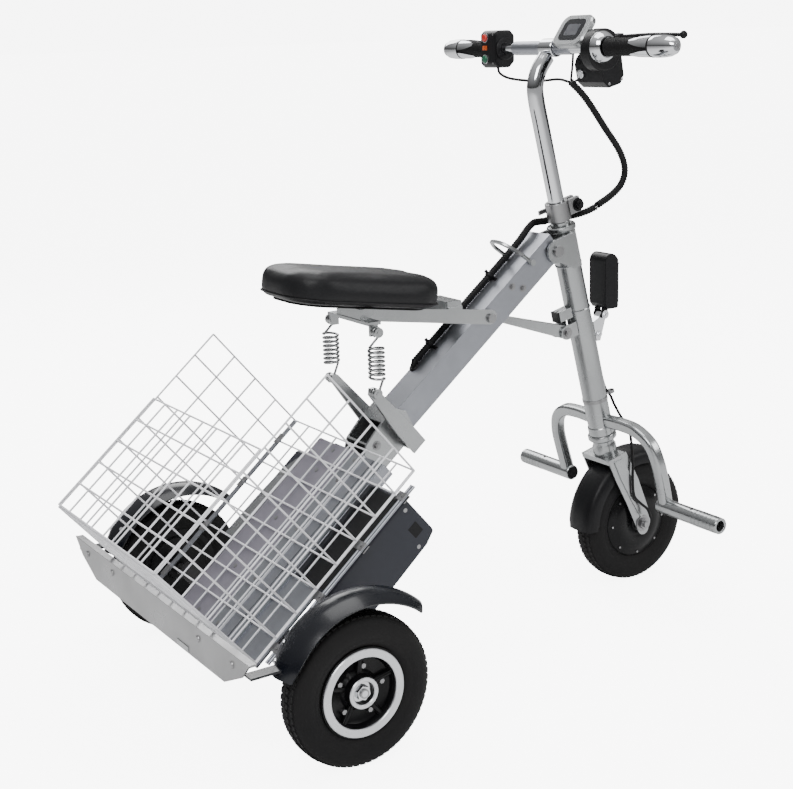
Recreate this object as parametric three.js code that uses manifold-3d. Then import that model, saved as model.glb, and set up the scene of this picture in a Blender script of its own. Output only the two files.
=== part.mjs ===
// Folding three-wheel mobility scooter: an assembly of separate solids, in millimetres, +Z up, +X forward.
// The frame is laid out with the rear axle above x = 0, and the finished group is then centred over its
// footprint, with the ground at z = 0.
import * as THREE from "three";
import { mergeVertices } from "three/addons/utils/BufferGeometryUtils.js";
import Module from "manifold-3d";

const wasm = await Module();
wasm.setup();

// ---------------------------------------------------------------- driving dimensions
const gap = 0.4;                    // space between pieces that touch
const wheelRadius = 127.5;          // 10 inch tyres
const wheelSides = 24;
const treadRadius = wheelRadius / Math.cos(Math.PI / wheelSides);
const tyreHalfWidth = 29;
const rearTrack = 342.8;            // half the distance between the rear wheels
const frontAxleX = 875.1;
const deckSlope = 39.8;             // degrees
const deckHeight = 233;             // height of the deck plane over the rear axle
const beamSlope = 38.6;
const beamStart = 345;              // along the beam
const beamEnd = 826;
const beamWidth = 60;
const beamDepth = 51;
const beamWall = 3.5;
const rake = 13.51;                 // head tube lean, degrees
const forkOffset = 26.25;
const seatPivot = [499.8, 608.4];   // x, z of the bolt through the beam
const columnPivot = [-46.4, 622];   // u, w of the fold bolt, in the column's own frame
const bracePivot = [-48, 452];      // u, w of the brace eye
const bracePinAlong = 640;          // where the brace pin rests in the beam's channel
const bracePinDepth = -38;
const basketLength = 414;
const basketWidth = 418;
const basketDepth = 252;
const basketStart = -137;           // along the deck
const wire = 3;
const barRadius = 11;
const barAt = [56, 982];            // u, w of the handlebar
const stemRadius = 15.5;
const pegReach = 300;

const radians = (degrees) => degrees * Math.PI / 180;

// ---------------------------------------------------------------- materials
function finish(color, roughness, metalness) {
  return new THREE.MeshStandardMaterial({ color, roughness, metalness });
}
const silver = finish(0xb9bdbf, 0.38, 0.85);
const aluminium = finish(0xaeb3b8, 0.45, 0.8);
const chrome = finish(0xd8dadc, 0.12, 1);
const steel = finish(0x9a9c9e, 0.35, 0.9);
const whiteWire = finish(0xe9e9ec, 0.45, 0.1);
const casePlastic = finish(0x3a3d47, 0.55, 0);
const blackPlastic = finish(0x16161a, 0.45, 0);
const fenderPlastic = finish(0x1b1d26, 0.25, 0);
const rubber = finish(0x1a1a1b, 0.85, 0);
const leather = finish(0x15151a, 0.5, 0);
const redPlastic = finish(0xd8281c, 0.4, 0);
const orangePlastic = finish(0xd2601e, 0.4, 0);
const greenPlastic = finish(0x1f6b45, 0.4, 0);
const lensPlastic = finish(0xe6eef2, 0.15, 0);
const darkGlass = finish(0x2a2d33, 0.1, 0);

// ---------------------------------------------------------------- solids
function toSolid(geometry) {
  const bare = geometry.clone();
  bare.deleteAttribute("normal");
  bare.deleteAttribute("uv");
  const welded = mergeVertices(bare, 1e-3);
  const corners = welded.index.array;
  const kept = [];
  for (let i = 0; i < corners.length; i += 3) {
    const [a, b, c] = [corners[i], corners[i + 1], corners[i + 2]];
    if (a !== b && b !== c && c !== a) {
      kept.push(a, b, c);
    }
  }
  const vertProperties = new Float32Array(welded.attributes.position.array);
  return new wasm.Manifold(new wasm.Mesh({ numProp: 3, vertProperties, triVerts: new Uint32Array(kept) }));
}

function toGeometry(solid) {
  const mesh = solid.getMesh();
  const geometry = new THREE.BufferGeometry();
  geometry.setAttribute("position", new THREE.BufferAttribute(mesh.vertProperties, 3));
  geometry.setIndex(new THREE.BufferAttribute(mesh.triVerts, 1));
  geometry.computeVertexNormals();
  return geometry;
}

function join(...pieces) {
  return toGeometry(pieces.map(toSolid).reduce((whole, next) => whole.add(next)));
}

function cut(base, ...tools) {
  return toGeometry(tools.map(toSolid).reduce((left, next) => left.subtract(next), toSolid(base)));
}

function box(x0, x1, y0, y1, z0, z1) {
  const geometry = new THREE.BoxGeometry(x1 - x0, y1 - y0, z1 - z0);
  return geometry.translate((x0 + x1) / 2, (y0 + y1) / 2, (z0 + z1) / 2);
}

// a round bar along Y at x, z
function rodY(radius, y0, y1, x, z, sides = 12) {
  const geometry = new THREE.CylinderGeometry(radius, radius, y1 - y0, sides);
  return geometry.translate(x, (y0 + y1) / 2, z);
}

// a round bar along Z
function rodZ(radius, z0, z1, x = 0, y = 0, sides = 16) {
  const geometry = new THREE.CylinderGeometry(radius, radius, z1 - z0, sides);
  return geometry.rotateX(Math.PI / 2).translate(x, y, (z0 + z1) / 2);
}

// a round bar along X
function rodX(radius, x0, x1, y, z, sides = 12) {
  const geometry = new THREE.CylinderGeometry(radius, radius, x1 - x0, sides);
  return geometry.rotateZ(Math.PI / 2).translate((x0 + x1) / 2, y, z);
}

// a ring of section [radius, along] turned about an axis along Y
function turned(section, x, y, z, segments = wheelSides) {
  const points = section.map(([radius, along]) => new THREE.Vector2(radius, along));
  const geometry = new THREE.LatheGeometry(points, segments);
  return geometry.rotateY(Math.PI / segments).translate(x, y, z);
}

function loopShape(outline) {
  return new THREE.Shape(outline.map(([a, b]) => new THREE.Vector2(a, b)));
}

// a plate with an outline in x, z between y0 and y1
function sidePlate(outline, y0, y1) {
  const geometry = new THREE.ExtrudeGeometry(loopShape(outline), { depth: y1 - y0, bevelEnabled: false });
  return geometry.rotateX(Math.PI / 2).translate(0, y1, 0);
}

// a plate with an outline in x, y between z0 and z1
function flatPlate(outline, z0, z1) {
  const geometry = new THREE.ExtrudeGeometry(loopShape(outline), { depth: z1 - z0, bevelEnabled: false });
  return geometry.translate(0, 0, z0);
}

// round end of a link: points on an arc about a centre
function arcPoints(x, z, radius, fromDegrees, toDegrees, count = 8) {
  const points = [];
  for (let i = 0; i <= count; i += 1) {
    const angle = radians(fromDegrees + (toDegrees - fromDegrees) * i / count);
    points.push([x + radius * Math.cos(angle), z + radius * Math.sin(angle)]);
  }
  return points;
}

function roundSection(radius, sides) {
  const corners = [];
  for (let i = 0; i < sides; i += 1) {
    const angle = 2 * Math.PI * (i + 0.5) / sides;
    corners.push([radius * Math.cos(angle), radius * Math.sin(angle)]);
  }
  return loopShape(corners);
}

function smoothPath(points) {
  return new THREE.CatmullRomCurve3(points.map(([x, y, z]) => new THREE.Vector3(x, y, z)), false, "centripetal");
}

function sweep(section, path, steps) {
  return new THREE.ExtrudeGeometry(section, { steps, bevelEnabled: false, extrudePath: path });
}

function tube(points, radius, sides, steps) {
  return sweep(roundSection(radius, sides), smoothPath(points), steps);
}

// an arc in the x, z plane whose radius may change along the way
class SpreadArc extends THREE.Curve {
  constructor(x, y, z, radius0, radius1, degrees0, degrees1) {
    super();
    Object.assign(this, { x, y, z, radius0, radius1, degrees0, degrees1 });
  }

  getPoint(t, target = new THREE.Vector3()) {
    const angle = radians(this.degrees0 + (this.degrees1 - this.degrees0) * t);
    const radius = this.radius0 + (this.radius1 - this.radius0) * t;
    return target.set(this.x + radius * Math.cos(angle), this.y, this.z + radius * Math.sin(angle));
  }
}

// ---------------------------------------------------------------- scene graph
const scooter = new THREE.Group();

const deck = new THREE.Group();      // x runs up the deck, z is square to it
deck.position.set(0, 0, deckHeight);
deck.rotation.y = -radians(deckSlope);

const beam = new THREE.Group();      // x runs up the main beam, z = 0 is its top face
beam.position.set(0, 0, deckHeight + 0.3);
beam.rotation.y = -radians(beamSlope);

const column = new THREE.Group();    // z runs up the steering axis, z = 0 is level with the front axle
const axisX = frontAxleX - forkOffset * Math.cos(radians(rake));
const axisZ = wheelRadius - forkOffset * Math.sin(radians(rake));
column.position.set(axisX, 0, axisZ);
column.rotation.y = -radians(rake);

scooter.add(deck, beam, column);

function add(parent, name, geometry, material) {
  const mesh = new THREE.Mesh(toGeometry(toSolid(geometry)), material);
  mesh.name = name;
  parent.add(mesh);
}

// a point of the ground frame, in a tilted group's own x and z
function inGroup(group, x, z) {
  group.updateMatrix();
  const point = new THREE.Vector3(x, 0, z).applyMatrix4(group.matrix.clone().invert());
  return [point.x, point.z];
}

// ---------------------------------------------------------------- wheels
const tyreSection = [
  [76, -20], [86, -27], [101, -tyreHalfWidth], [116, -26], [125, -17], [treadRadius, -7],
  [treadRadius, 7], [125, 17], [116, 26], [101, tyreHalfWidth], [86, 27], [76, 20], [76, -20],
];

function rimSection(side) {
  const outward = [
    [8.4, -24], [25, -24], [27, -14], [60, -14], [66, -21], [75.6, -21], [75.6, 23], [73.3, 27], [60, 27],
    [56, 11], [27, 9], [25.7, 26], [18.5, 26], [18.5, 16], [8.4, 16], [8.4, -24],
  ];
  return side > 0 ? outward : outward.map(([radius, along]) => [radius, -along]).reverse();
}

for (const [side, label] of [[1, "left"], [-1, "right"]]) {
  const y = side * rearTrack;
  add(scooter, `rear_tyre_${label}`, turned(tyreSection, 0, y, wheelRadius), rubber);
  add(scooter, `rear_rim_${label}`, turned(rimSection(side), 0, y, wheelRadius), blackPlastic);
}

const motorSection = [
  [8.4, -33], [30, -33], [58, -30], [72, -24], [75.6, -21], [75.6, 21], [72, 24], [58, 30], [30, 33],
  [8.4, 33], [8.4, -33],
];
add(scooter, "front_tyre", turned(tyreSection, frontAxleX, 0, wheelRadius), rubber);
add(scooter, "front_motor_hub", turned(motorSection, frontAxleX, 0, wheelRadius), blackPlastic);

// ---------------------------------------------------------------- rear axle and deck
const [axleAlong, axleDepth] = inGroup(deck, 0, wheelRadius);
const axleHalf = 15;
const nutFace = rearTrack + 16 + gap;
function rearAxle() {
  const parts = [
    box(axleAlong - axleHalf, axleAlong + axleHalf, -290, 290, axleDepth - axleHalf, axleDepth + axleHalf),
    rodY(8, -nutFace - 12, nutFace + 12, axleAlong, axleDepth),
  ];
  for (const side of [-1, 1]) {
    const inner = side > 0 ? nutFace : -nutFace - 10;
    parts.push(rodY(13, inner, inner + 10, axleAlong, axleDepth, 6));
  }
  return join(...parts);
}
add(deck, "rear_axle", rearAxle(), steel);

const deckStart = -140;
const deckEnd = 268;
const plateTop = -3;
// a side plate on the right fills the corner behind the battery case
const cornerEnd = 18;
const cornerSide = -200;
function deckFrame() {
  const parts = [
    box(deckStart, deckEnd, -112, 112, -14, -8),
    box(deckStart, cornerEnd, cornerSide, -111, -12, -8),
    box(deckStart, deckEnd, -52, 52, -9, plateTop),
  ];
  for (const side of [-1, 1]) {
    const inner = side > 0 ? 90 : -112;
    parts.push(box(deckStart, deckEnd, inner, inner + 22, -34, -13));
    parts.push(box(axleAlong - 27, axleAlong + 27, inner + 7, inner + 15, axleDepth + axleHalf + gap, -30));
  }
  return join(...parts);
}
add(deck, "deck_frame", deckFrame(), aluminium);

// the case reaches further out on the right than on the left
const caseRight = -215;
const caseLeft = 165;
const caseOutline = [[20, -16], [231, -16], [231, -104], [204, -113], [120, -115], [36, -115], [20, -99]];
add(deck, "battery_case", cut(
  sidePlate(caseOutline, caseRight, caseLeft),
  box(10, 240, -113.5, 113.5, -34 - gap, 0),
), casePlastic);

// ---------------------------------------------------------------- rear cross-member and mudguards
const crossRear = -191;
const crossTop = 223;
function crossMember() {
  const outline = [
    [-360, crossTop], [-330, 193], [-268, 163], [268, 163], [330, 193], [360, crossTop],
  ];
  const web = new THREE.ExtrudeGeometry(loopShape(outline), { depth: 4, bevelEnabled: false });
  // the outline's own x and y become the scooter's y and z, and its depth runs forward
  web.applyMatrix4(new THREE.Matrix4().makeBasis(
    new THREE.Vector3(0, 1, 0), new THREE.Vector3(0, 0, 1), new THREE.Vector3(1, 0, 0),
  )).translate(crossRear, 0, 0);
  const flange = box(crossRear, crossRear + 14, -358, 358, crossTop - 4, crossTop);
  deck.updateMatrix();
  const arms = [-1, 1].map((side) => {
    const y = side > 0 ? 98 : -106;
    const outlineArm = [
      [-142, -34], [-142, -16], [-146, -12], [-154, 30], [-172, 72], [-186, 72], [-186, 44], [-166, -20], [-158, -34],
    ];
    return sidePlate(outlineArm, y, y + 8).applyMatrix4(deck.matrix);
  });
  return join(web, flange, ...arms);
}
add(scooter, "rear_cross_member", crossMember(), aluminium);

// a thin crowned strip: the section of a mudguard, x across and y outwards
function crownedSection(halfWidth, sag, thickness, count = 6) {
  const outer = [];
  const inner = [];
  for (let i = 0; i <= count; i += 1) {
    const across = -1 + 2 * i / count;
    const drop = sag * across * across;
    outer.push([halfWidth * across, thickness - drop]);
    inner.unshift([(halfWidth - thickness * 0.6) * across, -drop]);
  }
  return loopShape([...outer, ...inner]);
}

for (const [side, label] of [[1, "left"], [-1, "right"]]) {
  const arc = new SpreadArc(0, side * rearTrack, wheelRadius, 168, 150, 44, 158);
  const guard = sweep(crownedSection(38, 15, 3), arc, 14);
  const y = side * rearTrack;
  const tab = box(crossRear + 4 + gap, -128, y - 12, y + 12, 196, 200);
  add(scooter, `rear_fender_${label}`, join(guard, tab), fenderPlastic);
}

// ---------------------------------------------------------------- main beam and its foot
const [seatAlong, seatDepth] = inGroup(beam, ...seatPivot);
column.updateMatrix();
const pivotWorld = new THREE.Vector3(columnPivot[0], 0, columnPivot[1]).applyMatrix4(column.matrix);
const [foldAlong, foldDepth] = inGroup(beam, pivotWorld.x, pivotWorld.z);
const half = beamWidth / 2;
add(beam, "main_beam", cut(
  sidePlate([
    [beamStart, -beamDepth], [beamEnd - 8, -beamDepth], [beamEnd, -beamDepth + 8], [beamEnd, 0], [beamStart, 0],
  ], -half, half),
  box(beamStart - 5, beamEnd + 5, -half + beamWall, half - beamWall, -beamDepth + beamWall, -beamWall),
  box(452, 662, -16, 16, -beamDepth - 5, -20),
  rodY(6.4, -half - 5, half + 5, foldAlong, foldDepth),
  rodY(5.4, -half - 5, half + 5, seatAlong, seatDepth),
), aluminium);

const lugInner = half + 1.5;
const lugOuter = lugInner + 6;
function throughBolt(radius, headRadius, reach, along, depth) {
  return join(
    rodY(radius, -reach - 6, reach + 6, along, depth),
    rodY(headRadius, -reach - 6, -reach - gap, along, depth),
    rodY(headRadius, reach + gap, reach + 6, along, depth, 6),
  );
}
add(beam, "column_pivot_bolt", throughBolt(6, 11, lugOuter, foldAlong, foldDepth), steel);
add(beam, "seat_pivot_bolt", throughBolt(5, 9, lugOuter, seatAlong, seatDepth), steel);

const footInner = half + 0.5;
const footOuter = footInner + 5;
function footBracket() {
  const cheek = [
    [236, -62], [236, -14 - gap], [270, -14 - gap], [286, -3], [322, 2], [372, 2], [384, -20], [372, -66], [250, -66],
  ];
  return join(
    sidePlate(cheek, footInner, footOuter),
    sidePlate(cheek, -footOuter, -footInner),
    box(336, 372, -footOuter, footOuter, -2, 2),
    box(250, 372, -footOuter, footOuter, -66, -63),
    box(286, 290, -footOuter, footOuter, -64, -3),
  );
}
add(deck, "beam_foot_bracket", footBracket(), silver);

// ---------------------------------------------------------------- springs and their bracket
const springY = 78;
const springBottom = [220.1, 518.5];
const springTop = [225.9, 626.3];
const [anchorAlong, anchorDepth] = inGroup(deck, ...springBottom);
const anchorRadius = 4;

// the pin that a spring's hook hangs on, with its two washers
function hookPin(side, x, z, inner) {
  const from = (a, b) => (side > 0 ? [a, b] : [-b, -a]);
  return [
    rodY(anchorRadius, ...from(inner, springY + 9), x, z),
    rodY(9, ...from(springY + 4, springY + 8), x, z),
    rodY(9, ...from(inner, springY - 4), x, z),
  ];
}

function springBracket() {
  const arm = [
    [334, -72], [366, -72], [366, -20], [anchorAlong + 9, anchorDepth + 2],
    [anchorAlong, anchorDepth + 10], [anchorAlong - 9, anchorDepth + 2], [334, -20],
  ];
  const parts = [box(338, 364, -68, 68, -72, -66 - gap)];
  for (const side of [-1, 1]) {
    const y0 = side > 0 ? 62 : -68;
    parts.push(sidePlate(arm, y0, y0 + 6));
    parts.push(...hookPin(side, anchorAlong, anchorDepth, 65));
  }
  return join(...parts);
}
add(deck, "spring_bracket", springBracket(), steel);

const coilRadius = 13.4;
const springWire = 2.1;
const coilTurns = 7;
const hookRadius = 8.5;
function spring(side) {
  const y = side * springY;
  const middle = (springBottom[0] + springTop[0]) / 2;
  const coilLow = springBottom[1] + 25;
  const coilHigh = springTop[1] - 25;
  const stepsPerTurn = 8;
  const hookAt = ([x, z], degrees) => {
    const angle = radians(degrees);
    return [x + hookRadius * Math.cos(angle), y, z + hookRadius * Math.sin(angle)];
  };
  const points = [];
  for (let degrees = 120; degrees <= 390; degrees += 45) {
    points.push(hookAt(springBottom, degrees));
  }
  for (let i = 0; i <= coilTurns * stepsPerTurn; i += 1) {
    const angle = 2 * Math.PI * i / stepsPerTurn;
    const rise = (coilHigh - coilLow) * i / (coilTurns * stepsPerTurn);
    points.push([middle + coilRadius * Math.cos(angle), y + side * coilRadius * Math.sin(angle), coilLow + rise]);
  }
  for (let degrees = -30; degrees <= 240; degrees += 45) {
    points.push(hookAt(springTop, degrees));
  }
  return tube(points, springWire, 5, 76);
}
add(scooter, "spring_left", spring(1), steel);
add(scooter, "spring_right", spring(-1), steel);

// ---------------------------------------------------------------- seat
function seatFrame() {
  const [px, pz] = seatPivot;
  const rear = [216, 651];
  const lean = Math.atan2(pz - rear[1], px - rear[0]) * 180 / Math.PI;
  const halfHeight = 12;
  const barOutline = [
    ...arcPoints(px, pz + 2, halfHeight + 2, lean - 90, lean + 90),
    ...arcPoints(rear[0], rear[1], halfHeight, lean + 90, lean + 90, 1),
    ...arcPoints(rear[0] + 14, rear[1], halfHeight, lean - 90, lean - 90, 1),
  ];
  const parts = [
    box(214, 240, -70, 70, 637, 643),
    box(216, 238, -40, 40, 640, 661.4),
    box(405, 436, -lugOuter + 3, lugOuter - 3, 636, 650),
    box(405, 436, -lugOuter, lugOuter, 622, 640),
  ];
  for (const side of [-1, 1]) {
    const y0 = side > 0 ? lugInner : -lugOuter;
    parts.push(sidePlate(barOutline, y0, y0 + 6));
    const tab = side > 0 ? 64 : -70;
    parts.push(box(218, 234, tab, tab + 6, 618, 640));
    parts.push(...hookPin(side, springTop[0], springTop[1], 66));
  }
  const hole = rodY(5.4, -60, 60, px, pz);
  return cut(join(...parts), hole);
}
add(scooter, "seat_frame", seatFrame(), silver);

const cushionCentre = [224, 698];
const cushionTilt = 9;
const cushionLength = 308;
const cushionWidth = 188;
const cushionHeight = 58;
const seat = new THREE.Group();
seat.position.set(cushionCentre[0], 0, cushionCentre[1]);
seat.rotation.y = radians(cushionTilt);
scooter.add(seat);

function roundedOutline(length, width, radius, count = 5) {
  const points = [];
  for (let corner = 0; corner < 4; corner += 1) {
    const sx = corner === 0 || corner === 3 ? 1 : -1;
    const sy = corner < 2 ? 1 : -1;
    points.push(...arcPoints(sx * (length / 2 - radius), sy * (width / 2 - radius), radius, corner * 90, corner * 90 + 90,
      count));
  }
  return points;
}

function cushion() {
  const bevel = 18;
  const outline = roundedOutline(cushionLength - 2 * bevel, cushionWidth - 2 * bevel, 58);
  const geometry = new THREE.ExtrudeGeometry(loopShape(outline), {
    depth: cushionHeight - 2 * bevel, bevelEnabled: true, bevelThickness: bevel, bevelSize: bevel, bevelSegments: 3,
  });
  return geometry.translate(0, 0, -cushionHeight / 2 + bevel);
}
add(seat, "seat_cushion", cushion(), leather);
const plateLow = -cushionHeight / 2 - 3;
add(seat, "seat_base_plate", flatPlate(roundedOutline(270, 140, 50), plateLow, plateLow + 3 - gap), steel);

// ---------------------------------------------------------------- lock bail on the beam
const bailAlong = 760;
const bailDepth = -9;
const bailY = half + 4.6;
const bailReach = 71;
function lockBail() {
  const lean = radians(106);
  const at = (reach, y) => [bailAlong + reach * Math.cos(lean), y, bailDepth + reach * Math.sin(lean)];
  const loop = [at(0, -bailY), at(20, -bailY), at(45, -bailY + 2), at(62, -bailY + 12), at(bailReach, -12),
    at(bailReach, 12), at(62, bailY - 12), at(45, bailY - 2), at(20, bailY), at(0, bailY)];
  return join(
    tube(loop, 4, 6, 20),
    rodY(6, -bailY - 4, -half - gap, bailAlong, bailDepth),
    rodY(6, half + gap, bailY + 4, bailAlong, bailDepth),
  );
}
add(beam, "lock_bail", lockBail(), steel);

// ---------------------------------------------------------------- basket
// a welded grid: a plate with a window cut for each cell, its corner at 0, 0
function grid(length, width, columns, rows) {
  const pitchX = (length - wire) / columns;
  const pitchY = (width - wire) / rows;
  const windows = [];
  for (let i = 0; i < columns; i += 1) {
    for (let j = 0; j < rows; j += 1) {
      const [x, y] = [wire + i * pitchX, wire + j * pitchY];
      windows.push(box(x, x + pitchX - wire, y, y + pitchY - wire, -1, wire + 1));
    }
  }
  return cut(box(0, length, 0, width, 0, wire), ...windows);
}

const basketHalf = basketWidth / 2;
const lidLength = 253;
const innerHalf = basketHalf - wire - gap;
add(deck, "basket_base", grid(basketLength, 2 * innerHalf, 4, 4).translate(basketStart, -innerHalf, 1), whiteWire);
for (const [side, label] of [[1, "left"], [-1, "right"]]) {
  const wall = grid(basketLength, basketDepth, 4, 2).rotateX(Math.PI / 2);
  const y = side > 0 ? basketHalf : -basketHalf + wire;
  add(deck, `basket_${label}_wall`, wall.translate(basketStart, y, 1), whiteWire);
}
add(deck, "basket_rear_wall", grid(basketDepth, basketWidth, 2, 4).rotateY(-Math.PI / 2)
  .translate(basketStart - gap, -basketHalf, 1), whiteWire);
add(deck, "basket_lid", grid(lidLength, basketWidth, 3, 4)
  .translate(basketStart, -basketHalf, basketDepth + 1 + gap), whiteWire);

// ---------------------------------------------------------------- head tube, footrests and brace
const headLow = 212;
const headHigh = 645;
const headRadius = 24.5;
const legInner = 13.5;
function headTube() {
  const [pu, pw] = columnPivot;
  const [bu, bw] = bracePivot;
  const lug = [
    ...arcPoints(pu, pw, 23, 90, 270), [-14, pw - 46], [4, pw - 46], [4, pw + 23],
  ];
  const eye = [...arcPoints(bu, bw, 14, 90, 270), [0, bw - 14], [0, bw + 14]];
  const parts = [
    rodZ(headRadius, headLow, headHigh),
    box(-19, 4, -lugOuter, lugOuter, pw - 44, pw + 20),
    box(-56, -10, -11, 11, 474, 495),
  ];
  for (const side of [-1, 1]) {
    parts.push(sidePlate(lug, side > 0 ? lugInner : -lugOuter, side > 0 ? lugOuter : -lugInner));
    const leg = side > 0 ? legInner : -legInner - 5;
    parts.push(sidePlate(eye, leg, leg + 5));
    parts.push(rodY(8, side > 0 ? leg + 4 : leg - 5, side > 0 ? leg + 10 : leg + 1, bu, bw, 6));
  }
  const hollow = rodZ(20.5, headLow - 5, headHigh + 5);
  const boltHole = rodY(6.4, -60, 60, pu, pw);
  return cut(join(...parts), hollow, boltHole);
}
add(column, "head_tube", headTube(), silver);

function footrest(side) {
  const square = loopShape([[-12, -8], [-8, -12], [8, -12], [12, -8], [12, 8], [8, 12], [-8, 12], [-12, 8]]);
  const route = [
    [3, 25.2, 240], [3, 70, 242], [3, 110, 237], [4, 141, 215], [4, 153, 180], [5, 154, 140], [6, 152, 100], [6, 150, 70],
  ].map(([u, y, w]) => [u, side * y, w]);
  const peg = side > 0 ? [136, pegReach] : [-pegReach, -136];
  const hole = side > 0 ? [220, pegReach + 5] : [-pegReach - 5, -220];
  return cut(
    join(sweep(square, smoothPath(route), 18), rodY(16, ...peg, 6, 80, 16)),
    rodY(10, ...hole, 6, 80, 10),
  );
}
add(column, "footrest_left", footrest(1), silver);
add(column, "footrest_right", footrest(-1), silver);

function braceLink() {
  const pinWorld = new THREE.Vector3(bracePinAlong, 0, bracePinDepth);
  beam.updateMatrix();
  pinWorld.applyMatrix4(beam.matrix);
  const [pinU, pinW] = inGroup(column, pinWorld.x, pinWorld.z);
  const [eyeU, eyeW] = bracePivot;
  const lean = Math.atan2(pinW - eyeW, pinU - eyeU) * 180 / Math.PI;
  const body = [
    ...arcPoints(eyeU, eyeW, 13, lean + 90, lean + 270),
    ...arcPoints(pinU, pinW, 6, lean - 90, lean + 90),
  ];
  return sidePlate(body, -legInner + gap, legInner - gap);
}
add(column, "brace_link", braceLink(), silver);

// ---------------------------------------------------------------- headlight
const lampRear = 788;
const lampFront = 822;
const lampLow = 584;
const lampHigh = 694;
const lampHalf = 25;
const lampPivot = [lampRear + 10, lampLow - 12];
const tongueHalf = 8;
const earInner = tongueHalf + gap;
function headlightCase() {
  const [px, pz] = lampPivot;
  const ear = [...arcPoints(px, pz, 8, 180, 360), [px + 8, lampLow + 2], [px - 8, lampLow + 2]];
  const body = sidePlate([
    [lampRear, lampLow + 8], [lampRear + 8, lampLow], [lampFront, lampLow], [lampFront, lampHigh - 12],
    ...arcPoints(lampRear + 16, lampHigh - 16, 16, 60, 180, 5),
  ], -lampHalf, lampHalf);
  return cut(
    join(body, sidePlate(ear, earInner, earInner + 4), sidePlate(ear, -earInner - 4, -earInner)),
    rodY(3.6, -30, 30, px, pz),
  );
}
add(scooter, "headlight_case", headlightCase(), blackPlastic);
add(scooter, "headlight_lens", box(lampFront + gap, lampFront + 5, -20, 20, lampLow + 10, lampHigh - 22), lensPlastic);
add(scooter, "headlight_bracket", join(
  sidePlate([[780.2, 520], [790, 520], [lampPivot[0] + 7.5, lampPivot[1]],
    ...arcPoints(...lampPivot, 7.5, 20, 160, 5), [784, 566], [771.2, 560]], -tongueHalf, tongueHalf),
  rodY(5, -16, 16, 786, 534, 6),
  rodY(3, -16, 16, ...lampPivot),
  rodY(6, earInner + 4 + gap, 17, ...lampPivot, 6),
  rodY(6, -17, -earInner - 4 - gap, ...lampPivot, 6),
), chrome);

// ---------------------------------------------------------------- fork
const steererRadius = 19;
const steererBore = 16.3;
const bladeInner = 38;
function fork() {
  const blade = [
    [-30, 168], [20, 168], [37, 100], [51, 8], [42, -14], [forkOffset, -27], [12, -12], [-4, 60], [-20, 120],
  ];
  const parts = [
    rodZ(steererRadius, 160, 664),
    rodZ(24, 168, 200),
    rodZ(29, 200, headLow - gap),
    rodZ(28, headHigh + gap, headHigh + 11),
    flatPlate([[-30, -bladeInner - 4], [20, -bladeInner - 4], [20, bladeInner + 4], [-30, bladeInner + 4]], 156, 170),
    sidePlate(blade, bladeInner, bladeInner + 4),
    sidePlate(blade, -bladeInner - 4, -bladeInner),
  ];
  return cut(
    join(...parts),
    rodZ(steererBore, 230, 670),
    rodY(7.4, -60, 60, forkOffset, 0),
  );
}
add(column, "fork", fork(), silver);
add(column, "front_axle", join(
  rodY(7, -56, 56, forkOffset, 0),
  rodY(12, bladeInner + 4 + gap, 51, forkOffset, 0, 6),
  rodY(12, -51, -bladeInner - 4 - gap, forkOffset, 0, 6),
), steel);

function frontFender() {
  const section = loopShape([[-35, -22], [-35, 0], [-26, 7], [26, 7], [35, 0], [35, -22], [32, -22], [32, -1], [25, 4],
    [-25, 4], [-32, -1], [-32, -22]]);
  return sweep(section, new SpreadArc(forkOffset + 10, 0, 4, 141, 141, 62, 168), 12);
}
add(column, "front_fender", frontFender(), blackPlastic);

// ---------------------------------------------------------------- stem clamp and quick release
const clampLow = 664 + gap;
const clampHigh = 702;
const leverAt = [40, 22, 684];
add(column, "stem_clamp", cut(
  join(
    rodZ(23, clampLow, clampHigh),
    box(12, 46, -13, -4, clampLow + 5, clampHigh - 2),
    box(12, 46, 4, 13, clampLow + 5, clampHigh - 2),
    rodY(5, -24, 15, leverAt[0], leverAt[2]),
    rodY(9, -22, -12, leverAt[0], leverAt[2], 6),
  ),
  rodZ(16.3, clampLow - 5, clampHigh + 5),
), steel);
add(column, "quick_release_lever", join(
  rodZ(7, leverAt[2] - 6, leverAt[2] + 6, leverAt[0], leverAt[1] + 1),
  box(-26, leverAt[0], leverAt[1] + 2, leverAt[1] + 6, leverAt[2] - 5, leverAt[2] + 5),
), steel);

// ---------------------------------------------------------------- stem and handlebar
add(column, "stem_tube", tube([
  [0, 0, 540], [0, 0, 640], [0, 0, 740], [0, 0, 850], [0, 0, 895], [4, 0, 925], [19, 0, 950], [42, 0, 969],
], stemRadius, 12, 20), chrome);

const gripStart = 162;
const leftGripStart = 194;
const capStart = 278;
const capEnd = 335;
add(column, "handlebar", join(
  rodY(barRadius, -capStart + 2, capStart - 2, ...barAt, 16),
  rodY(17, -19, 19, ...barAt, 16),
), chrome);

function sleeve(outer, inner, from, to) {
  const section = [[inner, from], [outer, from], [outer, to], [inner, to], [inner, from]];
  return turned(section, barAt[0], 0, barAt[1], 16);
}
function endCap(side) {
  const outline = [[0, capStart], [18, capStart], [19.5, capStart + 12], [18, capEnd - 14], [12, capEnd - 3], [0, capEnd]];
  const section = side > 0 ? outline : outline.map(([radius, along]) => [radius, -along]).reverse();
  return turned(section, barAt[0], 0, barAt[1], 16);
}
add(column, "grip_left", sleeve(16.5, barRadius + 0.6, leftGripStart, capStart - gap), rubber);
add(column, "end_cap_left", endCap(1), chrome);
add(column, "throttle_grip", sleeve(16.5, barRadius + 0.6, -capStart + gap, -gripStart), rubber);
add(column, "end_cap_right", endCap(-1), chrome);

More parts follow.
